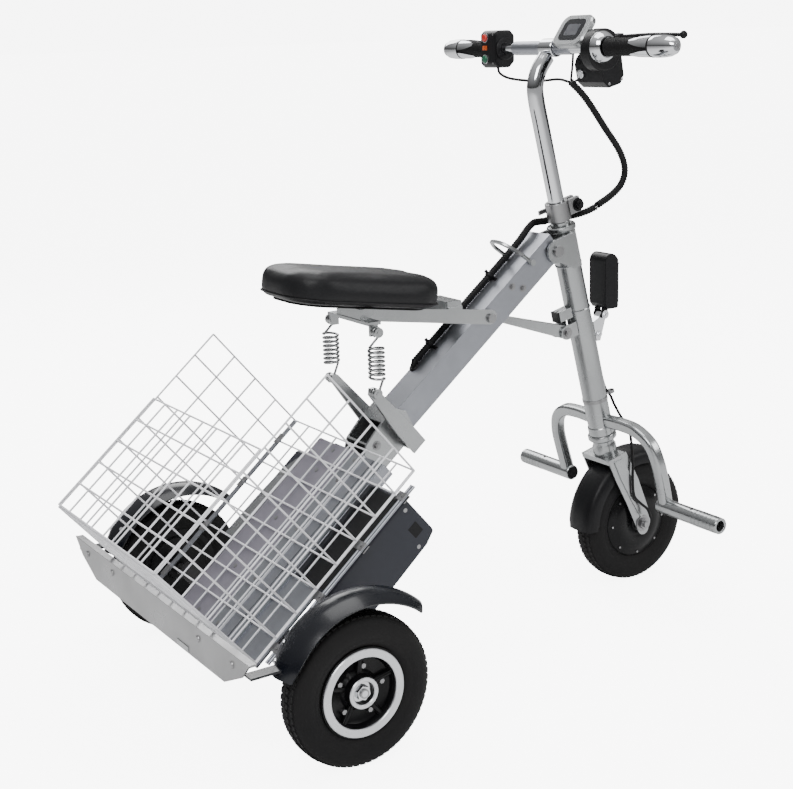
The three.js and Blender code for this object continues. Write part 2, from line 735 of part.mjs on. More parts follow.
// ---------------------------------------------------------------- switch box and its buttons
const switches = new THREE.Group();  // upright, centred on the handlebar
switches.position.set(barAt[0], 0, barAt[1]);
switches.rotation.y = radians(rake);
column.add(switches);
const boxY = [140, 190];
const boxFace = -23;                // the face towards the rider
const buttonsY = 173;
const buttonZ = { red: 21, orange: 2, green: -19 };
const pocket = 5;
function switchBox() {
  const body = sidePlate([
    [boxFace, -30], [boxFace, 30], [-16, 35], [16, 35], [24, 26], [24, -26], [14, -36], [-16, -36],
  ], ...boxY);
  return cut(
    body,
    rodY(barRadius + 0.6, boxY[0] - 5, boxY[1] + 5, 0, 0, 16),
    rodX(8, boxFace - 2, boxFace + pocket, buttonsY, buttonZ.red),
    rodX(8, boxFace - 2, boxFace + pocket, buttonsY, buttonZ.green),
    box(boxFace - 2, boxFace + pocket, buttonsY - 11, buttonsY + 11, buttonZ.orange - 5, buttonZ.orange + 5),
  );
}
add(switches, "switch_box", switchBox(), blackPlastic);
const buttonDeep = boxFace + pocket - 2.4;
const buttonOut = boxFace - 5;
add(switches, "red_button", rodX(7.4, buttonOut, buttonDeep, buttonsY, buttonZ.red), redPlastic);
add(switches, "green_button", rodX(7.4, buttonOut, buttonDeep, buttonsY, buttonZ.green), greenPlastic);
add(switches, "orange_switch", box(
  buttonOut, buttonDeep, buttonsY - 6, buttonsY + 6, buttonZ.orange - 4.4, buttonZ.orange + 4.4,
), orangePlastic);

// ---------------------------------------------------------------- display, brake housing and key
const display = new THREE.Group();
display.position.set(61, -69.5, 1009.8);
display.rotation.y = -radians(40);
column.add(display);
const podSize = [66, 84, 13];
add(display, "display_pod", cut(
  flatPlate(roundedOutline(podSize[0], podSize[1], 18), -podSize[2] / 2, podSize[2] / 2),
  flatPlate(roundedOutline(46, 58, 12), podSize[2] / 2 - 2, podSize[2]),
), chrome);
add(display, "display_window", flatPlate(roundedOutline(45.2, 57.2, 11.6), podSize[2] / 2 - 2 + gap, podSize[2] / 2),
  darkGlass);

const keyAt = [52, -84, 936];
function brakeHousing() {
  const drum = rodY(38, -142, -112, 66, 974, 20);
  const body = sidePlate([[56, 962], [50, 952], [50, 918], [60, 906], [88, 906], [100, 920], [104, 975], [90, 985]],
    -140, -66);
  const flare = turned([[barRadius + 0.6, -160], [20, -160], [28, -148], [28, -141], [barRadius + 0.6, -141],
    [barRadius + 0.6, -160]], barAt[0], 0, barAt[1], 16);
  const pivotBoss = box(84, 106, -150, -128, 980, 994);
  return cut(
    join(drum, body, flare, pivotBoss),
    rodY(barRadius + 0.6, -170, -60, ...barAt, 16),
    rodX(8.6, 40, keyAt[0] + 8, keyAt[1], keyAt[2], 16),
    box(94, 120, -170, -134, 982, 992.4),
  );
}
add(column, "brake_housing", brakeHousing(), blackPlastic);
add(column, "key_barrel", join(
  rodX(8, keyAt[0] - 8, keyAt[0] + 7, keyAt[1], keyAt[2], 16),
  box(keyAt[0] - 12, keyAt[0] - 6, keyAt[1] - 1.5, keyAt[1] + 1.5, keyAt[2] - 6, keyAt[2] + 6),
), chrome);

const leverPivot = [100, -140];
function brakeLever() {
  const blade = [
    [leverPivot[0] - 5, leverPivot[1] + 4], [leverPivot[0] + 5, leverPivot[1] + 4], [112, -165], [118, -220], [114, -292],
    [104, -292], [107, -220], [102, -170], [leverPivot[0] - 5, leverPivot[1] - 4],
  ];
  const ball = new THREE.SphereGeometry(7, 10, 8).translate(109, -296, 987.2);
  return join(flatPlate(blade, 982.8, 991.6), ball);
}
add(column, "brake_lever", brakeLever(), blackPlastic);

// ---------------------------------------------------------------- cables held by the scooter
// a cable through points of the ground frame, given in the frame of the group that holds it
function routed(group, points) {
  return points.map(([x, y, z]) => {
    const [along, depth] = inGroup(group, x, z);
    return [along, y, depth];
  });
}

const loomRadius = 7;
const switchCableRadius = 2.6;
const loomRoute = [
  [700, -28, 1026], [722, -28, 1008], [745, -28, 984], [782, -28, 938], [819, -28, 892], [833, -28, 856],
  [824, -28, 828], [800, -26, 808], [770, -22, 792],
];
const switchRoute = [
  [645, 128, 1062], [648, 126, 1046], [662, 108, 1034], [690, 62, 1028], [702, 14, 1031], [699, -16, 1028],
  [700, -24, 1027],
];
const collarRoute = [
  [766, -21, 788.7], [752, -10, 780], [738, 6, 773], [722, 24, 768], [708, 35, 765], [692, 39, 764],
];
const beamRoute = [
  [688, 39, 763], [674, 38, 763.5], [656, 32, 763.5], [636, 25, 755], [610, 22.5, 731.5], [575, 22.5, 702.5],
  [528, 22.5, 664.6], [433, 22.5, 588.8], [368, 22.5, 536.5],
];
add(column, "loom_stem", join(
  tube(routed(column, loomRoute), loomRadius, 8, 20),
  tube(routed(column, switchRoute), switchCableRadius, 6, 16),
), blackPlastic);
add(column, "loom_collar", tube(routed(column, collarRoute), loomRadius, 8, 10), blackPlastic);
add(beam, "loom_beam", tube(routed(beam, beamRoute), loomRadius, 8, 26), blackPlastic);
const cableRadius = 2.8;
add(column, "front_cable", tube([[33, 12, 405], [29, 6, 380], [28.5, 3, 340], [30, 0, 300], [36, -4, 280]],
  cableRadius, 6, 12), blackPlastic);
add(column, "motor_cable", tube([
  [36, -10, 264], [38.5, -20, 238], [37, -36, 221], [35, -45, 205], [32, -46.5, 175], [26, -46.5, 140],
  [17, -46.5, 106], [13, -46.5, 72], [24, -51, 50], [33, -58, 34], [35, -61, 14],
], cableRadius, 6, 24), blackPlastic);

// ---------------------------------------------------------------- origin at the middle of the footprint
scooter.updateMatrixWorld(true);
const bounds = new THREE.Box3().setFromObject(scooter, true);
const centre = bounds.getCenter(new THREE.Vector3());
scooter.position.set(-centre.x, -centre.y, -bounds.min.z);

export default scooter;
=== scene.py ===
import math

import bmesh
import bpy
from mathutils import Matrix, Vector


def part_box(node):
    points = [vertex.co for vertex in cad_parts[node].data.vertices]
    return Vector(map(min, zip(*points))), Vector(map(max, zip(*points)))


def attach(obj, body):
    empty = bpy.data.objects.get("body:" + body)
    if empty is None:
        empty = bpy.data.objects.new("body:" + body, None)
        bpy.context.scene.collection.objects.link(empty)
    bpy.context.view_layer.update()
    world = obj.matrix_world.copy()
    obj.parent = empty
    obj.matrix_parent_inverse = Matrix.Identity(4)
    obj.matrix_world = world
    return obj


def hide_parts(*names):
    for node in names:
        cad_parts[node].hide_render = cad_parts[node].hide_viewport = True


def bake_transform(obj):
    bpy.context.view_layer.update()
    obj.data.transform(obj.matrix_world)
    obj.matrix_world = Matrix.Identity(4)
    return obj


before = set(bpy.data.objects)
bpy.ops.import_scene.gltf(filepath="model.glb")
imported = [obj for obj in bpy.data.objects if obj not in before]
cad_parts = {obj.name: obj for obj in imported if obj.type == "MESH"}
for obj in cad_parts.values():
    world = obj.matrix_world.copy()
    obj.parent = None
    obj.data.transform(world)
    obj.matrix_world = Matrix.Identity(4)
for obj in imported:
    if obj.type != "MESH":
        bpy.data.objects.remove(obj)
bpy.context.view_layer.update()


# Local frames in millimetres, turned into metres in the scooter's own frame. The rear axle is above x = 0.
tyreLow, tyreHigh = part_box("rear_tyre_left")
axleX = (tyreLow.x + tyreHigh.x) / 2
millimetres = Matrix.Scale(0.001, 4)


def tilted(x, z, degrees):
    return Matrix.Translation((axleX + x / 1000, 0, z / 1000)) @ Matrix.Rotation(math.radians(degrees), 4,
            "Y") @ millimetres


def inside(parent, x, y, z, degrees=0):
    return parent @ Matrix.Translation((x, y, z)) @ Matrix.Rotation(math.radians(degrees), 4, "Y")


deckTilt, beamTilt, columnTilt = 39.8, 38.6, 13.51
deckFoot = 233
ground = tilted(0, 0, 0)
deck = tilted(0, deckFoot, -deckTilt)         # x up the deck, z square to it
beam = tilted(0, 233.3, -beamTilt)            # x up the main beam, z = 0 on its top face
column = tilted(849.58, 121.37, -columnTilt)  # z up the steering axis
wheelRadius = 127.5
rearTrack = 342.8
frontAxleX = 875.1
barAt = (56, 982)                        # the handlebar in the column's frame

# ---- materials


def link(tree, a, b):
    tree.links.new(a, b)


def shaderGroup(name, inputs, outputs):
    group = bpy.data.node_groups.new(name, "ShaderNodeTree")
    for label, value in inputs:
        socket = group.interface.new_socket(label, in_out="INPUT", socket_type="NodeSocketFloat")
        socket.default_value = value
    for label in outputs:
        group.interface.new_socket(label, in_out="OUTPUT", socket_type="NodeSocketFloat")
    return group, group.nodes.new("NodeGroupInput"), group.nodes.new("NodeGroupOutput")


def noiseNode(group, scale, detail, stretch=None):
    coords = group.nodes.new("ShaderNodeTexCoord")
    noise = group.nodes.new("ShaderNodeTexNoise")
    noise.inputs["Detail"].default_value = detail
    if stretch:
        mapping = group.nodes.new("ShaderNodeMapping")
        mapping.inputs["Scale"].default_value = stretch
        link(group, coords.outputs["Object"], mapping.inputs["Vector"])
        link(group, mapping.outputs["Vector"], noise.inputs["Vector"])
    else:
        link(group, coords.outputs["Object"], noise.inputs["Vector"])
    link(group, scale, noise.inputs["Scale"])
    return noise


def rangeNode(group, value, low, high):
    node = group.nodes.new("ShaderNodeMapRange")
    node.inputs["From Min"].default_value = 0.3
    node.inputs["From Max"].default_value = 0.7
    link(group, value, node.inputs["Value"])
    link(group, low, node.inputs["To Min"])
    link(group, high, node.inputs["To Max"])
    return node.outputs["Result"]


def buildHandling():
    # hands and weather leave broad, soft changes of gloss, with finer marks over them
    group, given, result = shaderGroup("handling", [("Scale", 14), ("Low", 0.3), ("High", 0.4),
                                                    ("Fine Scale", 220)],
                                       ["Roughness", "Fine Height"])
    broad = noiseNode(group, given.outputs["Scale"], 5)
    fine = noiseNode(group, given.outputs["Fine Scale"], 3)
    link(group, rangeNode(group, broad.outputs["Fac"], given.outputs["Low"], given.outputs["High"]),
         result.inputs["Roughness"])
    link(group, fine.outputs["Fac"], result.inputs["Fine Height"])
    return group


def buildBrushed():
    group, given, result = shaderGroup("brushed", [("Scale", 60), ("Low", 0.28), ("High", 0.42)],
                                       ["Roughness", "Fine Height"])
    lines = noiseNode(group, given.outputs["Scale"], 4, (1, 22, 1))
    link(group, rangeNode(group, lines.outputs["Fac"], given.outputs["Low"], given.outputs["High"]),
         result.inputs["Roughness"])
    link(group, lines.outputs["Fac"], result.inputs["Fine Height"])
    return group


def buildPebble():
    # the cells of moulded plastic or leather cloth
    group, given, result = shaderGroup("pebble", [("Scale", 500), ("Low", 0.42), ("High", 0.55)],
                                       ["Roughness", "Fine Height"])
    coords = group.nodes.new("ShaderNodeTexCoord")
    cells = group.nodes.new("ShaderNodeTexVoronoi")
    cells.feature = "SMOOTH_F1"
    link(group, coords.outputs["Object"], cells.inputs["Vector"])
    link(group, given.outputs["Scale"], cells.inputs["Scale"])
    broad = noiseNode(group, given.outputs["Scale"], 2)
    link(group, rangeNode(group, broad.outputs["Fac"], given.outputs["Low"], given.outputs["High"]),
         result.inputs["Roughness"])
    link(group, cells.outputs["Distance"], result.inputs["Fine Height"])
    return group


def buildTint():
    # one colour drifting slowly between two shares of itself
    group, given, result = shaderGroup("tint", [("Scale", 6), ("Low", 0.0), ("High", 1.0)], ["Share"])
    broad = noiseNode(group, given.outputs["Scale"], 4)
    link(group, rangeNode(group, broad.outputs["Fac"], given.outputs["Low"], given.outputs["High"]),
         result.inputs["Share"])
    return group


effects = {"handling": buildHandling(), "brushed": buildBrushed(), "pebble": buildPebble(),
           "tint": buildTint()}


def material(name, colour, second=None, metallic=0.0, effect="handling", gloss=(0.3, 0.4), scale=None,
             bump=0.02,
             coat=0.0, specular=0.5):
    made = bpy.data.materials.new(name)
    made.use_nodes = True
    tree = made.node_tree
    shader = tree.nodes["Principled BSDF"]
    shader.inputs["Metallic"].default_value = metallic
    shader.inputs["Specular IOR Level"].default_value = specular
    shader.inputs["Coat Weight"].default_value = coat
    shader.inputs["Coat Roughness"].default_value = 0.08
    drift = tree.nodes.new("ShaderNodeGroup")
    drift.node_tree = effects["tint"]
    mix = tree.nodes.new("ShaderNodeMix")
    mix.data_type = "RGBA"
    mix.inputs["A"].default_value = (*colour, 1)
    mix.inputs["B"].default_value = (*(second or [c * 0.86 for c in colour]), 1)
    link(tree, drift.outputs["Share"], mix.inputs["Factor"])
    link(tree, mix.outputs["Result"], shader.inputs["Base Color"])
    marks = tree.nodes.new("ShaderNodeGroup")
    marks.node_tree = effects[effect]
    marks.inputs["Low"].default_value, marks.inputs["High"].default_value = gloss
    if scale:
        marks.inputs["Scale"].default_value = scale
    link(tree, marks.outputs["Roughness"], shader.inputs["Roughness"])
    relief = tree.nodes.new("ShaderNodeBump")
    relief.inputs["Strength"].default_value = bump
    relief.inputs["Distance"].default_value = 0.001
    link(tree, marks.outputs["Fine Height"], relief.inputs["Height"])
    link(tree, relief.outputs["Normal"], shader.inputs["Normal"])
    return made


# the two gloss values are the least and the most roughness
look = {
    "silver": material("silverPaint", (0.37, 0.38, 0.385), metallic=0.94, gloss=(0.2, 0.31), bump=0.03),
    "aluminium": material("satinAluminium", (0.31, 0.32, 0.35), metallic=0.92, effect="brushed",
                          gloss=(0.3, 0.42), bump=0.04),
    "deckPlate": material("deckPlate", (0.3, 0.285, 0.335), metallic=0.7, effect="brushed",
                          gloss=(0.38, 0.52), bump=0.05),
    "chrome": material("chrome", (0.68, 0.69, 0.71), metallic=1.0, gloss=(0.05, 0.12), bump=0.004),
    "steel": material("platedSteel", (0.3, 0.3, 0.305), metallic=0.95, gloss=(0.25, 0.42), bump=0.05),
    "ring": material("rimRing", (0.68, 0.69, 0.71), metallic=0.75, effect="brushed", gloss=(0.24, 0.36),
                     bump=0.02),
    "wire": material("whiteWire", (0.8, 0.8, 0.83), metallic=0.1, gloss=(0.3, 0.42), bump=0.02),
    "case": material("batteryPlastic", (0.014, 0.016, 0.024), (0.019, 0.021, 0.03), effect="pebble",
                     gloss=(0.38, 0.5), scale=900, bump=0.14, specular=0.35),
    "plastic": material("blackPlastic", (0.005, 0.005, 0.006), effect="pebble", gloss=(0.32, 0.46),
                        scale=1100, bump=0.1, specular=0.2),
    "fender": material("glossPlastic", (0.003, 0.004, 0.007), gloss=(0.2, 0.3), bump=0.01, coat=0.12,
                       specular=0.3),
    "tyre": material("tyreRubber", (0.007, 0.007, 0.0075), (0.011, 0.0105, 0.0105), effect="pebble",
                     gloss=(0.58, 0.74), scale=700, bump=0.18, specular=0.14),
    "rubber": material("gripRubber", (0.006, 0.006, 0.0065), effect="pebble", gloss=(0.5, 0.66), scale=800,
                       bump=0.2, specular=0.16),
    "hub": material("blackPaint", (0.004, 0.004, 0.0045), gloss=(0.24, 0.36), bump=0.03, specular=0.18),
    "leather": material("leatherCloth", (0.006, 0.006, 0.007), (0.009, 0.009, 0.01), effect="pebble",
                        gloss=(0.36, 0.48), scale=620, bump=0.2, specular=0.2),
    "cable": material("cableSleeve", (0.005, 0.005, 0.0055), gloss=(0.42, 0.56), bump=0.03, specular=0.2),
    "red": material("redButton", (0.55, 0.02, 0.012), gloss=(0.28, 0.38), bump=0.02, coat=0.2),
    "orange": material("orangeButton", (0.5, 0.09, 0.02), gloss=(0.3, 0.42), bump=0.02),
    "green": material("greenButton", (0.01, 0.11, 0.055), gloss=(0.3, 0.42), bump=0.02),
    "lens": material("lampLens", (0.62, 0.66, 0.7), metallic=0.3, gloss=(0.06, 0.12), bump=0.01, coat=1),
    "window": material("displayWindow", (0.006, 0.007, 0.009), gloss=(0.08, 0.14), bump=0.0, coat=0.3,
                       specular=0.3),
}
print("materials", len(look))

# ---- pieces


def smooth(points, perSpan=8):
    # a curve through the points, leaving each towards the next but one
    given = [Vector(p) for p in points]
    padded = [given[0] * 2 - given[1], *given, given[-1] * 2 - given[-2]]
    curve = []
    for i in range(1, len(padded) - 2):
        a, b, c, d = padded[i - 1:i + 3]
        for step in range(perSpan):
            t = step / perSpan
            bend, turn = 2 * a - 5 * b + 4 * c - d, 3 * b - a - 3 * c + d
            curve.append(0.5 * (2 * b + (c - a) * t + bend * t * t + turn * t ** 3))
    return curve + [given[-1]]


def circle(radius, sides=32):
    return [(radius * math.cos(2 * math.pi * i / sides),
             radius * math.sin(2 * math.pi * i / sides)) for i in range(sides)]


def roundedRect(length, width, radius, count=6):
    corners = [(1, 1), (-1, 1), (-1, -1), (1, -1)]
    points = []
    for turn, (sx, sy) in enumerate(corners):
        for i in range(count + 1):
            angle = math.radians(90 * turn + 90 * i / count)
            points.append((sx * (length / 2 - radius) + radius * math.cos(angle),
                           sy * (width / 2 - radius) + radius * math.sin(angle)))
    return points


def arc(x, z, radius, start, end, count=12):
    angles = [math.radians(start + (end - start) * i / count) for i in range(count + 1)]
    return [(x + radius * math.cos(a), z + radius * math.sin(a)) for a in angles]


class Piece:
    def __init__(self, finish):
        self.bm = bmesh.new()
        self.finishes = [look[finish]]
        self.current = 0

    def use(self, finish):
        if look[finish] not in self.finishes:
            self.finishes.append(look[finish])
        self.current = self.finishes.index(look[finish])

    def face(self, corners):
        made = self.bm.faces.new(corners)
        made.material_index = self.current

    def rings(self, loops, closed=False, capped=True):
        # skins one loop of points after another
        rows = [[self.bm.verts.new(p) for p in loop] for loop in loops]
        pairs = list(zip(rows, rows[1:] + rows[:1])) if closed else list(zip(rows, rows[1:]))
        for a, b in pairs:
            for i in range(len(a)):
                self.face([a[i], a[(i + 1) % len(a)], b[(i + 1) % len(a)], b[i]])
        if capped and not closed:
            self.face(rows[0])
            self.face(rows[-1])

    def box(self, x0, x1, y0, y1, z0, z1):
        low = [(x0, y0, z0), (x1, y0, z0), (x1, y1, z0), (x0, y1, z0)]
        self.rings([low, [(x, y, z1) for x, y, _ in low]])

    def plate(self, outline, y0, y1):
        self.rings([[(x, y0, z) for x, z in outline], [(x, y1, z) for x, z in outline]])

    def slab(self, outline, z0, z1):
        self.rings([[(x, y, z0) for x, y in outline], [(x, y, z1) for x, y in outline]])

    def rod(self, start, end, radius, sides=32, endRadius=None):
        a, b = Vector(start), Vector(end)
        turn = (b - a).to_track_quat("Z", "Y")
        loops = [(a, radius), (b, radius if endRadius is None else endRadius)]
        self.rings([[centre + turn @ Vector((x, y, 0)) for x, y in circle(r, sides)] for centre,
                    r in loops])

    def lathe(self, profile, centre=(0, 0, 0), axis="Y", segments=64):
        # profile is a closed loop of (radius, along) or one that starts and ends on the axis
        onAxis = profile[0][0] == 0
        turns = {"Y": lambda r, h, c, s: (r * c, h, r * s), "Z": lambda r, h, c, s: (r * c, r * s, h),
                 "X": lambda r, h, c, s: (h, r * c, r * s)}
        where = Vector(centre)
        spin = [2 * math.pi * i / segments for i in range(segments)]
        inner = profile[1:-1] if onAxis else profile
        self.rings([[where + Vector(turns[axis](r, h, math.cos(t), math.sin(t))) for t in spin] for r,
                    h in inner],
                   closed=not onAxis)

    def sweep(self, section, path, up=(0, 0, 1), scales=None):
        points = [Vector(p) for p in path]
        side = None
        loops = []
        for i, p in enumerate(points):
            ahead = (points[min(i + 1, len(points) - 1)] - points[max(i - 1, 0)]).normalized()
            if side is None:
                side = Vector(up).cross(ahead).normalized()
            side = (side - ahead * side.dot(ahead)).normalized()
            over = ahead.cross(side)
            size = scales[i] if scales else 1
            loops.append([p + side * x * size + over * y * size for x, y in section])
        self.rings(loops)

    def hexBolt(self, start, direction, size, height, washer=0):
        a, d = Vector(start), Vector(direction).normalized()
        if washer:
            self.rod(a, a + d * washer, size * 1.45, 32)
        self.rod(a + d * washer, a + d * (washer + height), size, 6)
        self.rod(a + d * (washer + height), a + d * (washer + height * 1.35), size * 0.55, 20)

    def make(self, name, body, local, instead=(), bevel=0.0, sharp=32):
        bmesh.ops.recalc_face_normals(self.bm, faces=self.bm.faces)
        bmesh.ops.transform(self.bm, matrix=local, verts=self.bm.verts)
        mesh = bpy.data.meshes.new(name)
        self.bm.to_mesh(mesh)
        self.bm.free()
        for finish in self.finishes:
            mesh.materials.append(finish)
        return settle(name, mesh, body, instead, bevel, sharp)


def baked(source):
    # the mesh as its modifiers leave it, with the modifiers then dropped
    bpy.context.view_layer.update()
    mesh = bpy.data.meshes.new_from_object(source.evaluated_get(bpy.context.evaluated_depsgraph_get()))
    source.modifiers.clear()
    return mesh


def settle(name, mesh, body, instead=(), bevel=0.0, sharp=32):
    shown = bpy.data.objects.new(name, mesh)
    bpy.context.scene.collection.objects.link(shown)
    if bevel:
        rounding = shown.modifiers.new("rounding", "BEVEL")
        rounding.width = bevel / 1000
        rounding.segments = 2
        rounding.limit_method = "ANGLE"
        rounding.angle_limit = math.radians(40)
        shown.data = baked(shown)
    shown.data.polygons.foreach_set("use_smooth", [True] * len(shown.data.polygons))
    shown.data.set_sharp_from_angle(angle=math.radians(sharp))
    if bevel:
        # keeps the broad faces looking flat between their rounded edges
        evening = shown.modifiers.new("evening", "WEIGHTED_NORMAL")
        evening.weight = 90
        evening.keep_sharp = True
        shown.data = baked(shown)
    # a piece that reaches from one body to another is given both bodies and where its bend starts and ends,
    # and is only baked in place
    if isinstance(body, str):
        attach(shown, body)
    else:
        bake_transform(shown)
    if instead:
        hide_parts(*instead)
    return shown


def refine(node, finish, body, bevel=1.0):
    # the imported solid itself, with its edges eased
    work = bmesh.new()
    work.from_mesh(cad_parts[node].data)
    bmesh.ops.remove_doubles(work, verts=work.verts, dist=1e-5)
    bmesh.ops.dissolve_limit(work, angle_limit=math.radians(2), verts=work.verts, edges=work.edges)
    mesh = bpy.data.meshes.new(node + "_shape")
    work.to_mesh(mesh)
    work.free()
    mesh.materials.clear()
    mesh.materials.append(look[finish])
    return settle(node + "_look", mesh, body, [node], bevel)


# ---- geometry node trees


def nodeTree(name, inputs):
    tree = bpy.data.node_groups.new(name, "GeometryNodeTree")
    kinds = {float: "NodeSocketFloat", int: "NodeSocketInt"}
    tree.interface.new_socket("Geometry", in_out="INPUT", socket_type="NodeSocketGeometry")
    for label, value in inputs:
        socket = tree.interface.new_socket(label, in_out="INPUT", socket_type=kinds[type(value)])
        socket.default_value = value
    tree.interface.new_socket("Finish", in_out="INPUT", socket_type="NodeSocketMaterial")
    tree.interface.new_socket("Geometry", in_out="OUTPUT", socket_type="NodeSocketGeometry")
    return tree, tree.nodes.new("NodeGroupInput"), tree.nodes.new("NodeGroupOutput")


def addNode(tree, kind, values=None, **settings):
    node = tree.nodes.new(kind)
    for key, value in settings.items():
        setattr(node, key, value)
    for label, value in (values or {}).items():
        if isinstance(value, bpy.types.NodeSocket):
            link(tree, value, node.inputs[label])
        else:
            node.inputs[label].default_value = value
    return node


def maths(tree, operation, a, b):
    node = tree.nodes.new("ShaderNodeMath")
    node.operation = operation
    for socket, value in zip(node.inputs, (a, b)):
        if isinstance(value, bpy.types.NodeSocket):
            link(tree, value, socket)
        else:
            socket.default_value = value
    return node.outputs[0]


def closeTree(tree, given, result, geometry):
    real = addNode(tree, "GeometryNodeRealizeInstances", {"Geometry": geometry})
    painted = addNode(tree, "GeometryNodeSetMaterial", {"Geometry": real.outputs[0],
                                                        "Material": given.outputs["Finish"]})
    shaded = addNode(tree, "GeometryNodeSetShadeSmooth", {"Geometry": painted.outputs[0]})
    link(tree, shaded.outputs[0], result.inputs[0])


def buildWireGrid():
    # wires both ways over a rectangle that starts at 0, 0
    tree, given, result = nodeTree("wireGrid", [("Length", 0.4), ("Width", 0.4), ("Columns", 8),
                                                ("Rows", 8),
                                                ("Wire Radius", 0.0015), ("Lift", 0.0)])
    profile = addNode(tree, "GeometryNodeCurvePrimitiveCircle",
                      {"Resolution": 10, "Radius": given.outputs["Wire Radius"]},
                      mode="RADIUS")
    joined = tree.nodes.new("GeometryNodeJoinGeometry")
    ways = [("Length", "Width", "Rows", 0, 1), ("Width", "Length", "Columns", 1, -1)]
    for along, across, count, axis, side in ways:
        end = tree.nodes.new("ShaderNodeCombineXYZ")
        link(tree, given.outputs[along], end.inputs[axis])
        wire = addNode(tree, "GeometryNodeCurvePrimitiveLine", {"End": end.outputs[0]})
        step = tree.nodes.new("ShaderNodeCombineXYZ")
        link(tree, maths(tree, "DIVIDE", given.outputs[across], given.outputs[count]),
             step.inputs[1 - axis])
        start = tree.nodes.new("ShaderNodeCombineXYZ")
        link(tree, maths(tree, "MULTIPLY", given.outputs["Lift"], side), start.inputs[2])
        places = addNode(tree, "GeometryNodeMeshLine", {
            "Count": maths(tree, "ADD", given.outputs[count], 1), "Start Location": start.outputs[0],
            "Offset": step.outputs[0]}, mode="OFFSET")
        copies = addNode(tree, "GeometryNodeInstanceOnPoints",
                         {"Points": places.outputs[0], "Instance": wire.outputs[0]})
        lines = addNode(tree, "GeometryNodeRealizeInstances", {"Geometry": copies.outputs[0]})
        solid = addNode(tree, "GeometryNodeCurveToMesh", {
            "Curve": lines.outputs[0], "Profile Curve": profile.outputs[0], "Fill Caps": True})
        link(tree, solid.outputs[0], joined.inputs[0])
    closeTree(tree, given, result, joined.outputs[0])
    return tree


def buildTubeAlong():
    # a round tube along the path that the object's own edges make
    tree, given, result = nodeTree("tubeAlong", [("Radius", 0.002), ("Sides", 16)])
    path = addNode(tree, "GeometryNodeMeshToCurve", {"Mesh": given.outputs["Geometry"]})
    profile = addNode(tree, "GeometryNodeCurvePrimitiveCircle", {
        "Resolution": given.outputs["Sides"], "Radius": given.outputs["Radius"]}, mode="RADIUS")
    solid = addNode(tree, "GeometryNodeCurveToMesh", {
        "Curve": path.outputs[0], "Profile Curve": profile.outputs[0], "Fill Caps": True})
    closeTree(tree, given, result, solid.outputs[0])
    return tree


def buildWrappedLoom():
    # a cable bundle with leaning turns of spiral wrap over it
    tree, given, result = nodeTree("wrappedLoom", [("Radius", 0.006), ("Turn Pitch", 0.005),
                                                   ("Turn Radius", 0.0011),
                                                   ("Lean", 0.3)])
    path = addNode(tree, "GeometryNodeMeshToCurve", {"Mesh": given.outputs["Geometry"]})
    core = addNode(tree, "GeometryNodeCurvePrimitiveCircle",
                   {"Resolution": 20, "Radius": given.outputs["Radius"]},
                   mode="RADIUS")
    solid = addNode(tree, "GeometryNodeCurveToMesh", {
        "Curve": path.outputs[0], "Profile Curve": core.outputs[0], "Fill Caps": True})
    stations = addNode(tree, "GeometryNodeResampleCurve",
                       {"Curve": path.outputs[0], "Length": given.outputs["Turn Pitch"]},
                       mode="LENGTH")
    tangent = tree.nodes.new("GeometryNodeInputTangent")
    facing = addNode(tree, "FunctionNodeAlignRotationToVector", {"Vector": tangent.outputs[0]}, axis="Z")
    lean = tree.nodes.new("ShaderNodeCombineXYZ")
    link(tree, given.outputs["Lean"], lean.inputs[0])
    leaned = addNode(tree, "FunctionNodeRotateRotation",
                     {"Rotation": facing.outputs[0], "Rotate By": lean.outputs[0]},
                     rotation_space="LOCAL")
    ring = addNode(tree, "GeometryNodeCurvePrimitiveCircle",
                   {"Resolution": 20, "Radius": given.outputs["Radius"]},
                   mode="RADIUS")
    rib = addNode(tree, "GeometryNodeCurvePrimitiveCircle",
                  {"Resolution": 6, "Radius": given.outputs["Turn Radius"]},
                  mode="RADIUS")
    turn = addNode(tree, "GeometryNodeCurveToMesh", {"Curve": ring.outputs[0],
                                                     "Profile Curve": rib.outputs[0]})
    turns = addNode(tree, "GeometryNodeInstanceOnPoints", {
        "Points": stations.outputs[0], "Instance": turn.outputs[0], "Rotation": leaned.outputs[0]})
    joined = tree.nodes.new("GeometryNodeJoinGeometry")
    link(tree, solid.outputs[0], joined.inputs[0])
    link(tree, turns.outputs[0], joined.inputs[0])
    closeTree(tree, given, result, joined.outputs[0])
    return tree


